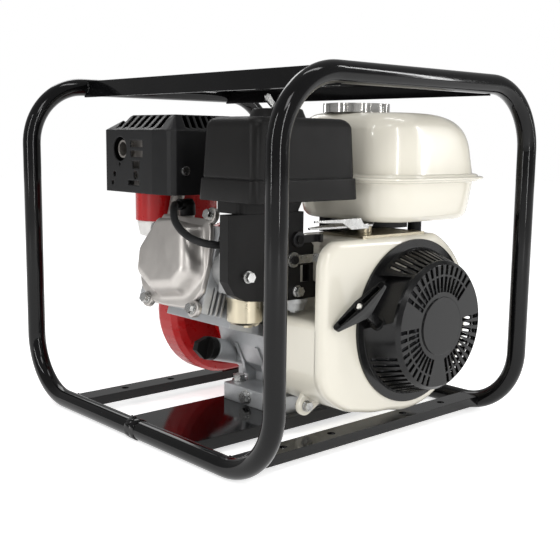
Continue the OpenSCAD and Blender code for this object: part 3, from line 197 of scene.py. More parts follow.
# Ignition lead, from the plug cap's nozzle to the ledge of the shroud, and the grommet there
LEAD_D = 8.0
LEAD_STEPS, LEAD_SIDES, LEAD_SHARP = 6, 18, 60
LEAD_ROUTE = [(-191.67, 6.05, 126.44), (-197.67, 4.75, 126.44), (-206, -6, 127), (-215, -17, 123.5),
              (-222, -27, 118), (-226, -36, 111.5), (-228, -47, 105), (-228, -60, 99), (-226, -73, 95),
              (-220, -85, 92.5), (-208, -92, 91), (-195, -93, 91), (-178, -92, 91), (-166.5, -91.7, 88.7),
              (-156.8, -91.3, 82.2), (-150.3, -91, 72.5), (-148, -90.5, 61), (-146, -90, 46),
              (-140, -90, 27), (-133, -90, 10)]
GROMMET = [(4.1, 1.6), (7.4, 1.6), (7.4, 3.4), (6.9, 4.2), (5.6, 4.6), (5.0, 6.6), (4.4, 7.2), (4.1, 7.2),
           (4.1, 1.6)]
GROMMET_SIDES, GROMMET_SHARP = 32, 32


def make_lead():
    path = [Vector(p) for p in curve_through(LEAD_ROUTE, LEAD_STEPS)]
    shell = Shell().skin(tube_rings(path, [LEAD_D / 2] * len(path), LEAD_SIDES), "fan", "fan")
    lead = add_piece("ignition_cable", shell, "rubber", LEAD_SHARP, stands_for=("ignition_lead",))
    collar = lathe(Shell(), LEAD_ROUTE[-1], Z_AXIS, X_AXIS, GROMMET, GROMMET_SIDES)
    grommet = add_piece("cable_grommet", collar, "rubber", GROMMET_SHARP)


# Starter rope, braided, from inside the guide through the grip to its knot
ROPE_D = 4.5
GUIDE = Vector((-76, -190, 9))
PULL_AZ, PULL_EL = math.radians(188.85), math.radians(32.3)
PULL = Vector((math.cos(PULL_AZ) * math.cos(PULL_EL), math.sin(PULL_AZ) * math.cos(PULL_EL),
               math.sin(PULL_EL)))
# from the guide to the grip's place at rest, the rope's start behind the guide, and its length
REST_L = 34.0
ROPE_IN = 10
ROPE_L = REST_L + 13.2
ROPE_STEPS, ROPE_SIDES, ROPE_SHARP = 76, 48, 80
STRANDS, LAY_PITCH, STRAND_RISE = 8, 9.0, 0.32
# the knot's middle beyond the grip's place, the radius of its cord and the size of its loops
KNOT_AT = 6.4
KNOT_R, KNOT_WIDE, KNOT_DEEP = 1.75, 0.62, 1.5
KNOT_STEPS, KNOT_SIDES = 72, 14


def make_rope():
    path = [GUIDE + PULL * (-ROPE_IN + ROPE_L * i / ROPE_STEPS) for i in range(ROPE_STEPS + 1)]
    u = PULL.orthogonal().normalized()
    v = PULL.cross(u)
    rings = []
    for i, p in enumerate(path):
        turn = 2 * math.pi * ROPE_L * i / ROPE_STEPS / LAY_PITCH
        ring = []
        for k in range(ROPE_SIDES):
            a = 2 * math.pi * k / ROPE_SIDES
            plait = max(math.cos(STRANDS / 2 * (a - turn)), math.cos(STRANDS / 2 * (a + turn)))
            r = ROPE_D / 2 - STRAND_RISE + STRAND_RISE * plait
            ring.append(p + r * (math.cos(a) * u + math.sin(a) * v))
        rings.append(ring)
    shell = Shell().skin(rings, "fan", "fan")
    rope = add_piece("pull_rope", shell, "rope", ROPE_SHARP, body=None, stands_for=("starter_rope",))
    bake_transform(rope)
    # overhand knot in the grip's cup
    middle = GUIDE + PULL * (REST_L + KNOT_AT)
    loop = []
    for i in range(KNOT_STEPS):
        t = 2 * math.pi * i / KNOT_STEPS
        x = KNOT_WIDE * (math.sin(t) + 2 * math.sin(2 * t))
        y = KNOT_WIDE * (math.cos(t) - 2 * math.cos(2 * t))
        z = -KNOT_DEEP * math.sin(3 * t)
        loop.append(middle + x * u + y * v + z * PULL)
    loop.append(loop[0])
    tied = Shell().skin(tube_rings(loop, [KNOT_R] * len(loop), KNOT_SIDES), "fan", "fan")
    knot = add_piece("rope_knot", tied, "rope", ROPE_SHARP, body="starter_handle")


make_lead()
make_rope()

# Rings of a rectangle with round corners, from the start of a corner, all with the same count of points
CORNER_STEPS = 12
SIDE_STEPS = 6
CORNERS = ((1, 1), (-1, 1), (-1, -1), (1, -1))


def rect_ring(cx, cy, z, w, l, r):
    ring = []
    for q, (sx, sy) in enumerate(CORNERS):
        ox, oy = cx + sx * (w / 2 - r), cy + sy * (l / 2 - r)
        for k in range(CORNER_STEPS + 1):
            a = math.pi / 2 * (q + k / CORNER_STEPS)
            ring.append(Vector((ox + r * math.cos(a), oy + r * math.sin(a), z)))
        nx, ny = CORNERS[(q + 1) % len(CORNERS)]
        a = math.pi / 2 * (q + 1)
        tip = Vector((cx + nx * (w / 2 - r) + r * math.cos(a), cy + ny * (l / 2 - r) + r * math.sin(a), z))
        start = ring[-1]
        ring.extend(start.lerp(tip, k / SIDE_STEPS) for k in range(1, SIDE_STEPS))
    return ring


# Fuel tank: two pressings with a rolled seam, and the filler neck.
# Levels are height, inset and, on the upper pressing, how far the side at +x slopes in.
TANK_AT = (16.5, -112.5, 112.0)
TANK_W, TANK_L = 189.0, 185.0
TANK_CORNER, TANK_LEAST_CORNER = 48.0, 8
TANK_LOW = [(0, 24), (0.6, 21.4), (2, 19), (4.6, 16.8), (8, 15), (20, 12.9), (34, 11.2), (41.6, 10.3)]
SEAM = [(42.3, 10.0), (42.6, 9.2), (42.9, 6.6), (43.4, 5.6), (44.4, 5.1), (45.2, 4.9), (45.5, 4.2),
        (45.6, 1.6), (45.8, 0.7), (46.3, 0.1), (47, 0), (47.7, 0.1), (48.2, 0.7), (48.4, 1.6), (48.5, 4.2),
        (48.8, 4.9), (49.6, 5.1), (50.6, 5.6), (51.1, 6.6), (51.4, 9.2), (51.7, 10.0)]
TANK_UP = [(52.4, 10.1, 1.2), (68, 10.5, 4.6), (83.5, 11, 8), (94.5, 12, 13), (103.5, 14, 20),
           (110.5, 18, 28), (115.5, 24, 40), (117.5, 32, 54), (117.6, 44, 66)]
LOW_STEPS, UP_STEPS = 3, 5
FILLER = (-21.5, -100.0, 112.0)
NECK = [(26.6, 104), (27, 108), (27, 119.0), (26.4, 119.8), (25.4, 120), (23.2, 120), (22.4, 119.7),
        (22, 119), (22, 104)]
ROUND_SIDES = 64


def make_tank():
    x, y, z0 = TANK_AT
    levels = [(z, i, 0.0) for z, i in curve_through(TANK_LOW, LOW_STEPS) + SEAM]
    levels += curve_through(TANK_UP, UP_STEPS)
    rings = [rect_ring(x - s / 2, y, z0 + z, TANK_W - 2 * i - s, TANK_L - 2 * i,
                       max(TANK_LEAST_CORNER, TANK_CORNER - i / 2)) for z, i, s in levels]
    shell = Shell().skin(rings, "fan", "fan")
    lathe(shell, FILLER, Z_AXIS, X_AXIS, NECK + NECK[:1], ROUND_SIDES)
    add_piece("fuel_tank_skin", shell, "cream_paint", SHARP, stands_for=("fuel_tank",))


# Air cleaner cover: a skirt, a stepped box with soft edges and the boss under the wing nut.
# Levels are height, how much narrower than the widest, and corner radius.
CLEANER_AT = (-155.0, -120.0, 138.0)
CLEANER_W, CLEANER_L = 147.0, 90.0
CLEANER_SIDE = [(20, 6.4, 9), (0.6, 6.4, 9), (0, 5.4, 9), (0, 1.4, 9), (0.4, 0.4, 9), (1.2, 0, 9),
                (20.4, 1.9, 9), (21.4, 2.2, 9), (21.9, 3, 9), (22, 4.8, 9), (22.1, 6.2, 8.4),
                (22.7, 6.6, 8.2), (23.4, 6.2, 8.4), (23.9, 5.6, 9), (25, 5.4, 9), (48, 7.2, 9.5),
                (72, 9, 10)]
CROWN = (83.1, 70, 6)
# rise, narrowing and growth of the corner radius over the soft upper edge
CROWN_RISE, CROWN_DRAW, CROWN_CORNER = 11, 19, 2
CROWN_STEPS = 10
BOSS = [(29.4, 82), (28.8, 83.6), (28.2, 85), (25.9, 90.6), (25.2, 91.6), (24.2, 92), (21.2, 92),
        (20.4, 91.7), (20, 91), (20, 89.6), (19.6, 89.1), (19, 89), (3.4, 89), (3.4, 82)]
STUD = (-159.0, -120.0, 138.0)


def make_cleaner():
    levels = list(CLEANER_SIDE)
    edge_z, edge_d, edge_r = CLEANER_SIDE[-1]
    for k in range(1, CROWN_STEPS + 1):
        a = math.pi / 2 * k / CROWN_STEPS
        levels.append((edge_z + CROWN_RISE * math.sin(a), edge_d + CROWN_DRAW * (1 - math.cos(a)),
                       edge_r + CROWN_CORNER * k / CROWN_STEPS))
    levels.append(CROWN)
    x, y, z0 = CLEANER_AT
    rings = [rect_ring(x, y, z0 + z, CLEANER_W - d, CLEANER_L - d, r) for z, d, r in levels]
    shell = Shell().skin(rings, "open", "fan")
    lathe(shell, STUD, Z_AXIS, X_AXIS, BOSS, ROUND_SIDES)
    add_piece("cleaner_shell", shell, "black_plastic", SHARP, stands_for=("air_cleaner_cover",))


# Valve cover: a domed pressing on a clipped flange with its bolt bosses, on the leaning cylinder
LEAN = math.radians(17)
UP_ACROSS = Vector((math.sin(LEAN), 0, math.cos(LEAN)))
OUTWARD = Vector((-math.cos(LEAN), 0, math.sin(LEAN)))
CYL_Y, HEAD_TO, HEAD_U, HEAD_V = -10.0, 213.0, 58.0, 47.0
ROCKER = [(35, 17), (39, -6), (28, -21), (-5, -34), (-15, -26), (-20, 5), (-9, 29), (7, 33)]
ROCKER_CORNER, ROCKER_STEPS = 10, 7
# height above the head, and growth of the outline
ROCKER_RISE = [(5.6, 13.5), (6.2, 11.2), (7.4, 9.4), (9.4, 8), (12.5, 6.6), (16, 5.4), (19.5, 4.2),
               (22.4, 2.7), (24.8, 0.6), (26.4, -1.8), (27.4, -4.4), (27.9, -7)]
FLANGE = [(0.3, 19.5), (0, 20.4), (0.8, 21), (4.6, 21), (5.6, 20.4), (6, 19.2)]
# the dome's margin inside the head, the flange's full growth and how far it passes the head on one side
ROCKER_MARGIN, FLANGE_GROWTH, FLANGE_EAR = 2, 21, 6
VALVE_BOLTS = [(3 - HEAD_V, HEAD_U - 24), (3 - HEAD_V, 8 - HEAD_U), (HEAD_V + 10, 16 - HEAD_U),
               (HEAD_V - 11, HEAD_U - 12)]
BOLT_BOSS = [(3.4, 0), (8.6, 0), (9, 0.5), (9, 4.8), (8.6, 5.7), (7.9, 6), (3.4, 6), (3.4, 0)]
BOLT_BOSS_SIDES, ROCKER_SHARP = 36, 42


def on_cylinder(u, v, h):
    return Vector((0, CYL_Y + v, 0)) + u * UP_ACROSS + (HEAD_TO + h) * OUTWARD


def rocker_ring(h, grow, low, high, side):
    """The rounded outline of the valve cover, grown outward and held inside a box."""
    ring = []
    n = len(ROCKER)
    for i, p in enumerate(ROCKER):
        before, after = ROCKER[i - 1], ROCKER[(i + 1) % n]
        a = math.atan2(p[0] - before[0], -(p[1] - before[1]))
        b = math.atan2(after[0] - p[0], -(after[1] - p[1]))
        while b > a:
            b -= 2 * math.pi
        for k in range(ROCKER_STEPS + 1):
            t = a + (b - a) * k / ROCKER_STEPS
            u = min(high, max(low, p[0] + (ROCKER_CORNER + grow) * math.cos(t)))
            v = min(side, max(-side, p[1] + (ROCKER_CORNER + grow) * math.sin(t)))
            ring.append(on_cylinder(u, v, h))
    return ring


def make_valve_cover():
    m = ROCKER_MARGIN
    dome = [rocker_ring(h, g, -HEAD_V + m, HEAD_V - m, HEAD_U - m) for h, g in ROCKER_RISE]
    shell = Shell().skin(dome, "open", "fan")
    flange = []
    for h, g in FLANGE:
        back = FLANGE_GROWTH - g
        flange.append(rocker_ring(h, g, -HEAD_V + back, HEAD_V + FLANGE_EAR - back, HEAD_U - back))
    shell.skin(flange, "fan", "fan")
    for u, v in VALVE_BOLTS:
        lathe(shell, on_cylinder(u, v, 0), OUTWARD, UP_ACROSS, BOLT_BOSS, BOLT_BOSS_SIDES)
    add_piece("valve_cover_skin", shell, "rocker_aluminium", ROCKER_SHARP, stands_for=("valve_cover",))


make_tank()
make_cleaner()
make_valve_cover()

# Fan shroud: a pressing with a soft front edge, its deeper case behind and the lug at its foot
SHROUD_R, SHROUD_TOP, SHROUD_FRONT, SHROUD_BACK = 104.0, 96.0, -174.0, -81.0
STEP_Y, SHROUD_T, SHROUD_EDGE = -161.0, 2.5, 8.0
OPENING_R, STEP_OPENING_R = 76.0, 84
# where the round side starts, and the angle where it ends
ARC_FROM_X, ARC_TO, ARC_STEPS = 40, math.radians(-106), 40
FOOT = [(-58, -98), (-104, -88), (-131, -68), (-141, -50)]
FRONT_LEFT = [(-141, 72), (-136, 86), (-122, 96)]
CASE_LEFT = [(-141, 12), (-92, 12), (-92, 96)]
# corner radii along the outline
ARC_RADII = [18] + [400] * (ARC_STEPS - 1) + [60]
FOOT_RADII = [120, 60, 40, 30]
FRONT_RADII, CASE_RADII = [30, 16, 20], [9, 6, 12]
# steps on each corner's curve, and the share of a side that it may take
CORNER_CUTS, CORNER_SHARE = 4, 0.46
EDGE_STEPS = 8
# how far the case reaches into the front pressing, and the break of its back edge
CASE_LAP, CASE_BREAK = 1.5, 0.8
# the lug's two ends as x, z and radius, its faces as inset and depth, and the points on each end
LUG_ENDS = ((-118, -88, 11), (-96, -68, 18))
LUG_FACES = ((1, -127), (0.3, -126.7), (0, -126), (0, -122), (0.3, -121.3), (1, -121))
LUG_STEPS = 14


def fillet(corners, radii, steps):
    """A polygon's outline with each corner turned on a curve."""
    out = []
    n = len(corners)
    for i, p in enumerate(corners):
        p = Vector(p)
        a, b = Vector(corners[i - 1]) - p, Vector(corners[(i + 1) % n]) - p
        la, lb = a.length, b.length
        a.normalize()
        b.normalize()
        half = math.acos(max(-1, min(1, a.dot(b)))) / 2
        cut = min(radii[i] / math.tan(half), la * CORNER_SHARE, lb * CORNER_SHARE)
        for k in range(steps + 1):
            t = k / steps
            out.append((1 - t) ** 2 * (p + a * cut) + 2 * t * (1 - t) * p + t * t * (p + b * cut))
    return out


def shroud_outline(left, left_radii):
    first = math.atan2(SHROUD_TOP, ARC_FROM_X)
    turns = [first + (ARC_TO - first) * k / ARC_STEPS for k in range(ARC_STEPS + 1)]
    arc = [(SHROUD_R * math.cos(a), SHROUD_R * math.sin(a)) for a in turns]
    return fillet(arc + FOOT + left, ARC_RADII + FOOT_RADII + left_radii, CORNER_CUTS)


def inset_ring(outline, k, y):
    """The outline moved inward by k, at a depth y."""
    out = []
    n = len(outline)
    for i, p in enumerate(outline):
        step = 1
        way = outline[(i + step) % n] - outline[i - step]
        while way.length < 1e-6:
            step += 1
            way = outline[(i + step) % n] - outline[i - step]
        way.normalize()
        q = p + Vector((way.y, -way.x)) * k
        out.append(Vector((q.x, y, q.y)))
    return out


def hole_ring(outline, r, y):
    """A circle with as many points as the outline, each in the direction of its point."""
    return [Vector((p.x / p.length * r, y, p.y / p.length * r)) for p in outline]


def lug_outline():
    """Points of a link between two circles, as x, z, radius and angle."""
    (x0, z0, r0), (x1, z1, r1) = LUG_ENDS
    lean = math.atan2(z1 - z0, x1 - x0)
    open_by = math.acos((r0 - r1) / math.dist((x0, z0), (x1, z1)))
    lug = []
    for (x, z, r), a0, a1 in ((LUG_ENDS[0], lean + open_by, lean + 2 * math.pi - open_by),
                              (LUG_ENDS[1], lean - open_by, lean + open_by)):
        lug += [(x, z, r, a0 + (a1 - a0) * k / LUG_STEPS) for k in range(LUG_STEPS + 1)]
    return lug


def make_shroud():
    shell = Shell()
    front = shroud_outline(FRONT_LEFT, FRONT_RADII)
    rings = [hole_ring(front, OPENING_R, SHROUD_FRONT + SHROUD_T), hole_ring(front, OPENING_R, SHROUD_FRONT)]
    for k in range(EDGE_STEPS + 1):
        a = math.pi / 2 * k / EDGE_STEPS
        rings.append(inset_ring(front, SHROUD_EDGE * (1 - math.sin(a)),
                                SHROUD_FRONT + SHROUD_EDGE * (1 - math.cos(a))))
    rings += [inset_ring(front, k, STEP_Y + y) for k, y in ((0, -1), (0.3, -0.3), (1, 0), (SHROUD_T, 0))]
    rings += [hole_ring(front, STEP_OPENING_R, STEP_Y), rings[0]]
    shell.skin(rings)
    case = shroud_outline(CASE_LEFT, CASE_RADII)
    lap_y = STEP_Y - CASE_LAP
    shell.skin([inset_ring(case, k, y) for k, y in (
        (SHROUD_T, lap_y), (0, lap_y), (0, SHROUD_BACK - CASE_BREAK), (CASE_BREAK, SHROUD_BACK),
        (SHROUD_T, SHROUD_BACK), (SHROUD_T, lap_y))])
    lug = lug_outline()
    shell.skin([[Vector((x + (r - k) * math.cos(a), y, z + (r - k) * math.sin(a))) for x, z, r, a in lug]
                for k, y in LUG_FACES], "fan", "fan")
    add_piece("shroud_skin", shell, "cream_paint", SHARP, stands_for=("fan_shroud",))


make_shroud()

# Sleeves over the frame's lower joints, and weld beads where the rails, plate and bars meet the tubes.
# These are in millimetres from the floor under the middle of the frame.
TUBE_R, TUBE_X, TUBE_Y, FRAME_TOP = 10.65, 191.85, 226.35, 400.0
# rise above the tube, and distance along it
SLEEVE = [(-0.6, -9), (0.5, -9), (1.1, -8.2), (1.1, -1.2), (0.3, -0.4), (0.3, 0.4), (1.1, 1.2), (1.1, 8.2),
          (0.5, 9), (-0.6, 9)]
SLEEVE_SIDES = 56
RIVET = [(3, 0), (3, 0.9), (2.5, 1.7), (1.5, 2.2), (0.6, 2.4)]
RIVET_Y, RIVET_SEAT, RIVET_SIDES = 4.8, 0.4, 24
# edges of the rails and the plate along the tubes, and the place of the top bars
WELD_YS = (-181, -155, 111, 137, -99, 19)
BAR_X = 117
# angles round the tube, in degrees
RAIL_BEAD, BAR_BEAD = (34, 50, 66, 82), (-38, -16, 8, 34)
BEAD_R, BEAD_STEPS, BEAD_SIDES, BEAD_SHARP = 1.5, 14, 10, 70
# shares of the radius: least, ripple on top of it, and at the two ends. The beat is in radians a step.
BEAD_LEAST, BEAD_RIPPLE, BEAD_END = 0.82, 0.18, 0.45
BEAD_BEAT = 1.25


def inside_box(p):
    """A point moved into the box of the solids, so that trim doesn't make the object larger."""
    low, high = (Vector(c) * 1000 for c in (cad_low, cad_high))
    return Vector(min(h, max(l, q)) for q, l, h in zip(p, low, high))


def add_frame_piece(name, shell, sharp):
    origin = CRANK * 1000
    shell.points = [inside_box(Vector(p)) - origin for p in shell.points]
    add_piece(name, shell, "frame_paint", sharp)


def make_sleeves():
    profile = [(TUBE_R + r, d) for r, d in SLEEVE]
    for name, x in (("sleeve_left", -TUBE_X), ("sleeve_right", TUBE_X)):
        shell = lathe(Shell(), (x, 0, TUBE_R), Y_AXIS, X_AXIS, profile, SLEEVE_SIDES)
        rivet_at = (x, RIVET_Y, 2 * TUBE_R + RIVET_SEAT)
        lathe(shell, rivet_at, Z_AXIS, X_AXIS, RIVET, RIVET_SIDES, "open", "fan")
        add_frame_piece(name, shell, SHARP)


def bead(shell, path):
    """A weld bead: a cord with the ripples of its pools, thin at both ends."""
    line = [Vector(p) for p in curve_through(path, BEAD_STEPS)]
    sizes = [BEAD_R * (BEAD_LEAST + BEAD_RIPPLE * abs(math.sin(BEAD_BEAT * i)))
             * (BEAD_END if i in (0, len(line) - 1) else 1) for i in range(len(line))]
    shell.skin(tube_rings(line, sizes, BEAD_SIDES), "fan", "fan")


def make_welds():
    shell = Shell()
    bar_z = FRAME_TOP - TUBE_R
    for side in (-1, 1):
        for y in WELD_YS:
            # round the tube's inner half
            bead(shell, [(side * (TUBE_X - TUBE_R * math.sin(a)), y, TUBE_R + TUBE_R * math.cos(a))
                         for a in (math.radians(d) for d in RAIL_BEAD)])
        for end in (-1, 1):
            bead(shell, [(side * BAR_X, end * (TUBE_Y - TUBE_R * math.cos(a)), bar_z + TUBE_R * math.sin(a))
                         for a in (math.radians(d) for d in BAR_BEAD)])
    add_frame_piece("weld_beads", shell, BEAD_SHARP)


make_sleeves()
make_welds()


# Materials
def link(tree, a, b):
    tree.links.new(a, b)


def node_of(tree, kind, **values):
    n = tree.nodes.new(kind)
    for k, v in values.items():
        setattr(n, k, v)
    return n


def noise(tree, where, scale, detail=2.0, rough=0.55):
    n = node_of(tree, "ShaderNodeTexNoise")
    n.inputs["Scale"].default_value = scale
    n.inputs["Detail"].default_value = detail
    n.inputs["Roughness"].default_value = rough
    link(tree, where, n.inputs["Vector"])
    return n.outputs["Fac"]


def spread(tree, value, low, high, from_low=0.3, from_high=0.7):
    """A value's range from_low to from_high stretched to low to high."""
    n = node_of(tree, "ShaderNodeMapRange")
    n.inputs["From Min"].default_value = from_low
    n.inputs["From Max"].default_value = from_high
    n.inputs["To Min"].default_value = low
    n.inputs["To Max"].default_value = high
    link(tree, value, n.inputs["Value"])
    return n.outputs["Result"]


# places of a mix node's two colours and its result among its sockets
MIX_A, MIX_B, MIX_RESULT = 6, 7, 2


def mixed(tree, share, a, b):
    """Two colours mixed by a share, each a tuple or a socket."""
    n = node_of(tree, "ShaderNodeMix", data_type="RGBA")
    link(tree, share, n.inputs["Factor"])
    for socket, value in ((n.inputs[MIX_A], a), (n.inputs[MIX_B], b)):
        if isinstance(value, tuple):
            socket.default_value = (*value, 1)
        else:
            link(tree, value, socket)
    return n.outputs[MIX_RESULT]


def tint(colour, k):
    return tuple(min(1.0, c * k) for c in colour)


CLOUD_DETAIL, CHIP_DETAIL, CHIP_ROUGH = 4.0, 5.0, 0.7
CHIP_SCALE, SMEAR_SCALE = 140.0, 75.0
# flecks are coarser than the grain, and flecks and the painted shade in corners, partly grime, are shades of
# the colour
FLECK_SCALE, FLECK_SHADE, GRIME_AND_SHADE_TINT = 0.6, 0.45, 0.35
WEAR_SHARE = 0.5
# ranges of the noise, of the edge's turn and of the shading that each effect takes up
FLECK_BAND, CHIP_BAND, EDGE_BAND, GRIME_AND_SHADE_BAND = (0.55, 0.75), (0.45, 0.62), (0.80, 0.99), (0.25, 0.85)
RAY_SAMPLES = 4


def surface(name, colour, rough, metal=0.0, vary=0.08, patch=22.0, grain=900.0, bump=0.05, bump_m=0.0002,
            wear=None, round_m=0.0006, grime_and_shade=0.35, grime_and_shade_colour=None, grime_and_shade_m=0.010, coat=0.0,
            coat_rough=0.05, specular=0.5, fleck=0.0):
    """A finish with cloudy colour, flecks, worn edges, painted shade with grime in corners, smeared gloss
    and fine relief.
    """
    mat = bpy.data.materials.new(name)
    mat.use_nodes = True
    tree = mat.node_tree
    shader = tree.nodes["Principled BSDF"]
    where = node_of(tree, "ShaderNodeTexCoord").outputs["Object"]
    shader.inputs["Metallic"].default_value = metal
    shader.inputs["Coat Weight"].default_value = coat
    shader.inputs["Coat Roughness"].default_value = coat_rough
    shader.inputs["Specular IOR Level"].default_value = specular
    cloud = noise(tree, where, patch, CLOUD_DETAIL)
    base = mixed(tree, spread(tree, cloud, 0, 1), tint(colour, 1 - vary), tint(colour, 1 + vary))
    if fleck > 0:
        dots = noise(tree, where, grain * FLECK_SCALE)
        base = mixed(tree, spread(tree, dots, 0, fleck, *FLECK_BAND), base, tint(colour, FLECK_SHADE))
    edge = node_of(tree, "ShaderNodeBevel", samples=RAY_SAMPLES)
    edge.inputs["Radius"].default_value = round_m
    if wear is not None:
        flat = node_of(tree, "ShaderNodeNewGeometry").outputs["Normal"]
        dot = node_of(tree, "ShaderNodeVectorMath", operation="DOT_PRODUCT")
        link(tree, edge.outputs["Normal"], dot.inputs[0])
        link(tree, flat, dot.inputs[1])
        corner = spread(tree, dot.outputs["Value"], WEAR_SHARE, 0, *EDGE_BAND)
        broken = spread(tree, noise(tree, where, CHIP_SCALE, CHIP_DETAIL, CHIP_ROUGH), 0, 1, *CHIP_BAND)
        both = node_of(tree, "ShaderNodeMath", operation="MULTIPLY")
        link(tree, corner, both.inputs[0])
        link(tree, broken, both.inputs[1])
        base = mixed(tree, both.outputs[0], base, wear)
    # painted shade: ambient occlusion darkens corners, creases and recesses toward a darker tint, standing
    # in for shade, partly grime
    if grime_and_shade > 0:
        shade = node_of(tree, "ShaderNodeAmbientOcclusion", samples=RAY_SAMPLES)
        shade.inputs["Distance"].default_value = grime_and_shade_m
        painted_shade_share = spread(tree, shade.outputs["AO"], grime_and_shade, 0, *GRIME_AND_SHADE_BAND)
        base = mixed(tree, painted_shade_share, base, grime_and_shade_colour or tint(colour, GRIME_AND_SHADE_TINT))
    link(tree, base, shader.inputs["Base Color"])
    smear = noise(tree, where, SMEAR_SCALE, CLOUD_DETAIL)
    link(tree, spread(tree, smear, rough[0], rough[1]), shader.inputs["Roughness"])
    relief = node_of(tree, "ShaderNodeBump")
    relief.inputs["Strength"].default_value = bump
    relief.inputs["Distance"].default_value = bump_m
    link(tree, noise(tree, where, grain), relief.inputs["Height"])
    link(tree, edge.outputs["Normal"], relief.inputs["Normal"])
    link(tree, relief.outputs["Normal"], shader.inputs["Normal"])
    return mat


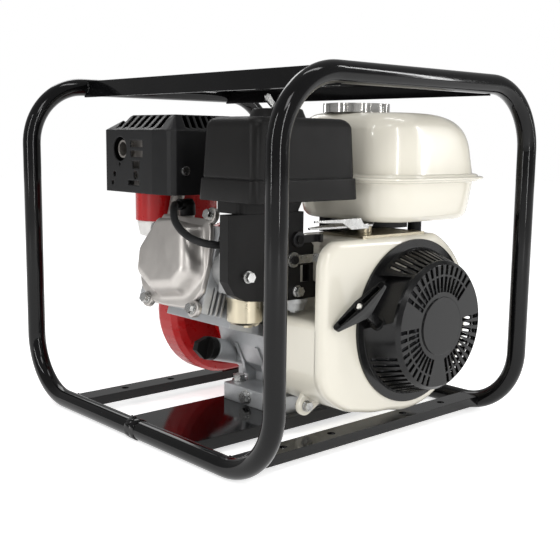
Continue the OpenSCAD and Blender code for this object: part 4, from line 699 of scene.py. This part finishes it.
# each finish's grime amount sets how strongly painted shade, partly grime, darkens its corners
FINISHES = {
    "frame_paint": dict(colour=(0.0028, 0.0028, 0.0030), rough=(0.06, 0.10), vary=0.25, grain=350, bump=0.03,
                        wear=(0.015, 0.015, 0.016), grime_and_shade=0.0, specular=0.22),
    "rail_paint": dict(colour=(0.0032, 0.0032, 0.0034), rough=(0.07, 0.13), vary=0.25, grain=400, bump=0.02,
                       wear=(0.02, 0.02, 0.021), grime_and_shade=0.0, specular=0.24),
    "zinc": dict(colour=(0.50, 0.50, 0.49), rough=(0.20, 0.34), metal=1.0, vary=0.14, patch=70, grain=1400,
                 bump=0.04),
    "cast_aluminium": dict(colour=(0.50, 0.51, 0.52), rough=(0.40, 0.55), metal=0.75, vary=0.10, patch=30,
                           grain=1100, bump=0.16, wear=(0.62, 0.63, 0.64), grime_and_shade=0.35,
                           grime_and_shade_colour=(0.09, 0.09, 0.09), fleck=0.08, round_m=0.0022),
    "rocker_aluminium": dict(colour=(0.50, 0.475, 0.45), rough=(0.34, 0.46), metal=0.85, vary=0.06, patch=30,
                             grain=1300, bump=0.10, wear=(0.55, 0.54, 0.53), grime_and_shade=0.4,
                             grime_and_shade_colour=(0.07, 0.065, 0.06), round_m=0.0008),
    "steel": dict(colour=(0.5, 0.51, 0.53), rough=(0.25, 0.4), metal=1.0, vary=0.1, patch=50, grain=1500,
                  bump=0.05),
    "iron": dict(colour=(0.22, 0.225, 0.23), rough=(0.5, 0.7), metal=0.7, vary=0.2, patch=40, grain=800,
                 bump=0.3),
    "cream_paint": dict(colour=(0.64, 0.61, 0.525), rough=(0.20, 0.26), vary=0.010, patch=7, grain=160,
                        bump=0.008, grime_and_shade=0.10, grime_and_shade_colour=(0.36, 0.33, 0.26), coat=0.35, coat_rough=0.05,
                        round_m=0.0012),
    "black_plastic": dict(colour=(0.0052, 0.0049, 0.0048), rough=(0.36, 0.48), vary=0.12, grain=1500,
                          bump=0.22, wear=(0.025, 0.025, 0.025), grime_and_shade=0.3, round_m=0.0012, specular=0.16),
    "recoil_plastic": dict(colour=(0.0040, 0.0040, 0.0042), rough=(0.16, 0.24), vary=0.12, grain=1300,
                           bump=0.05, wear=(0.02, 0.02, 0.02), grime_and_shade=0.2, round_m=0.0010, specular=0.30),
    "reel_plastic": dict(colour=(0.05, 0.05, 0.055), rough=(0.45, 0.6), vary=0.12, grain=1500, bump=0.15),
    "rope": dict(colour=(0.72, 0.70, 0.64), rough=(0.75, 0.9), vary=0.1, patch=300, grain=2500, bump=0.6,
                 grime_and_shade=0.5, grime_and_shade_m=0.002),
    "cap_metal": dict(colour=(0.62, 0.61, 0.585), rough=(0.14, 0.26), metal=1.0, vary=0.08, patch=50,
                      grain=1500, bump=0.04, grime_and_shade=0.4),
    "foam": dict(colour=(0.33, 0.29, 0.14), rough=(0.85, 0.95), vary=0.25, patch=120, grain=900, bump=0.9,
                 bump_m=0.001),
    "carb_alloy": dict(colour=(0.36, 0.365, 0.365), rough=(0.4, 0.6), metal=0.8, vary=0.15, patch=60,
                       grain=1100, bump=0.25, grime_and_shade=0.55, grime_and_shade_colour=(0.07, 0.065, 0.05)),
    "gold_zinc": dict(colour=(0.50, 0.45, 0.34), rough=(0.26, 0.36), metal=1.0, vary=0.04, patch=45,
                      grain=1400, bump=0.02, grime_and_shade=0.15, grime_and_shade_colour=(0.16, 0.12, 0.06)),
    "rubber": dict(colour=(0.007, 0.007, 0.0074), rough=(0.42, 0.55), vary=0.12, grain=1200, bump=0.12,
                   grime_and_shade=0.2, specular=0.18),
    "fibre": dict(colour=(0.06, 0.05, 0.045), rough=(0.8, 0.9), vary=0.2, patch=150, grain=1200, bump=0.4),
    "plug_ceramic": dict(colour=(0.78, 0.77, 0.73), rough=(0.12, 0.2), vary=0.03, grain=600, bump=0.02,
                         coat=0.4),
    "muffler_steel": dict(colour=(0.26, 0.245, 0.23), rough=(0.4, 0.62), metal=0.9, vary=0.25, patch=45,
                          grain=900, bump=0.15, grime_and_shade=0.5, grime_and_shade_colour=(0.08, 0.05, 0.03)),
    "shield_black": dict(colour=(0.0060, 0.0060, 0.0064), rough=(0.30, 0.42), vary=0.15, grain=1100,
                         bump=0.12, wear=(0.025, 0.025, 0.025), grime_and_shade=0.2, round_m=0.0022, specular=0.18),
    "pump_red": dict(colour=(0.37, 0.004, 0.005), rough=(0.24, 0.34), vary=0.08, patch=25, grain=420,
                     bump=0.08, grime_and_shade=0.35, grime_and_shade_colour=(0.10, 0.003, 0.003), coat=0.06, coat_rough=0.08,
                     round_m=0.0020, specular=0.30),
    "pale_alloy": dict(colour=(0.66, 0.65, 0.63), rough=(0.45, 0.6), metal=0.35, vary=0.05, patch=40,
                       grain=1200, bump=0.16, grime_and_shade=0.3, grime_and_shade_colour=(0.2, 0.19, 0.18), fleck=0.08,
                       round_m=0.002),
    "bronze": dict(colour=(0.46, 0.32, 0.13), rough=(0.35, 0.5), metal=0.9, vary=0.15, patch=40, grain=1000,
                   bump=0.2),
    "brass": dict(colour=(0.60, 0.46, 0.18), rough=(0.22, 0.36), metal=1.0, vary=0.12, patch=60, grain=1400,
                  bump=0.05),
    "lever_black": dict(colour=(0.011, 0.011, 0.012), rough=(0.25, 0.4), vary=0.15, grain=900, bump=0.06),
}
looks = {name: surface(name, **values) for name, values in FINISHES.items()}

for row in frame["record"]["subparts"]:
    piece = nodes[row["node"]]
    piece.data.materials.clear()
    piece.data.materials.append(looks[row["material_slot"]])
for piece, slot in made:
    piece.data.materials.append(looks[slot])
# the starter's mouldings are glossier than the air cleaner's
for name in ("recoil_cover", "starter_grip"):
    nodes[name].data.materials[0] = looks["recoil_plastic"]

# Studio
WHITE = (1, 1, 1, 1)
WORLD_LIGHT, WORLD_SEEN = 0.40, 1.0
FLOOR_HALF, FLOOR_Z = 6.0, -0.0005
FLOOR_COLOUR = (0.95, 0.95, 0.948, 1)
FLOOR_ROUGH, FLOOR_SPECULAR, FLOOR_GLOW = 0.8, 0.1, 0.64
# place, aim, power, width and height of each lamp: soft boxes, and strips for the tubes' highlights
LAMPS = [((-1.0, -1.5, 1.9), (0, 0, 0.15), 10, 0.6, 0.6), ((1.5, -1.4, 1.0), (0, 0, 0.2), 11, 0.09, 1.5),
         ((-2.0, 0.1, 0.9), (0, 0, 0.2), 13, 0.09, 1.6), ((0.6, 1.8, 1.6), (0, 0, 0.2), 8, 0.9, 0.9),
         ((0.3, -0.5, 2.3), (0, 0, 0.2), 8, 0.2, 1.4), ((-0.6, -1.9, 0.75), (0, 0, 0.2), 12, 0.08, 1.4)]


def make_world():
    """A white surround that the camera sees brighter than it lights the object."""
    world = bpy.data.worlds.new("studio")
    scene.world = world
    world.use_nodes = True
    tree = world.node_tree
    back = tree.nodes["Background"]
    seen = node_of(tree, "ShaderNodeBackground")
    for shade, strength in ((back, WORLD_LIGHT), (seen, WORLD_SEEN)):
        shade.inputs["Color"].default_value = WHITE
        shade.inputs["Strength"].default_value = strength
    both = node_of(tree, "ShaderNodeMixShader")
    link(tree, node_of(tree, "ShaderNodeLightPath").outputs["Is Camera Ray"], both.inputs[0])
    link(tree, back.outputs[0], both.inputs[1])
    link(tree, seen.outputs[0], both.inputs[2])
    link(tree, both.outputs[0], tree.nodes["World Output"].inputs["Surface"])


def make_floor():
    mesh = bpy.data.meshes.new("floor")
    signs = ((-1, -1), (1, -1), (1, 1), (-1, 1))
    corners = [(sx * FLOOR_HALF, sy * FLOOR_HALF, FLOOR_Z) for sx, sy in signs]
    mesh.from_pydata(corners, [], [(0, 1, 2, 3)])
    floor = bpy.data.objects.new("floor", mesh)
    scene.collection.objects.link(floor)
    paint = bpy.data.materials.new("floor")
    paint.use_nodes = True
    shader = paint.node_tree.nodes["Principled BSDF"]
    shader.inputs["Base Color"].default_value = FLOOR_COLOUR
    shader.inputs["Roughness"].default_value = FLOOR_ROUGH
    shader.inputs["Specular IOR Level"].default_value = FLOOR_SPECULAR
    shader.inputs["Emission Color"].default_value = WHITE
    shader.inputs["Emission Strength"].default_value = FLOOR_GLOW
    mesh.materials.append(paint)


def make_lamps():
    for i, (place, aim, power, width, height) in enumerate(LAMPS):
        data = bpy.data.lights.new(f"lamp_{i}", "AREA")
        data.energy = power
        data.shape = "RECTANGLE"
        data.size = width
        data.size_y = height
        lamp = bpy.data.objects.new(f"lamp_{i}", data)
        lamp.location = place
        lamp.rotation_euler = (Vector(aim) - Vector(place)).to_track_quat("-Z", "Y").to_euler()
        scene.collection.objects.link(lamp)


make_world()
make_floor()
make_lamps()
scene.view_settings.view_transform = "Standard"
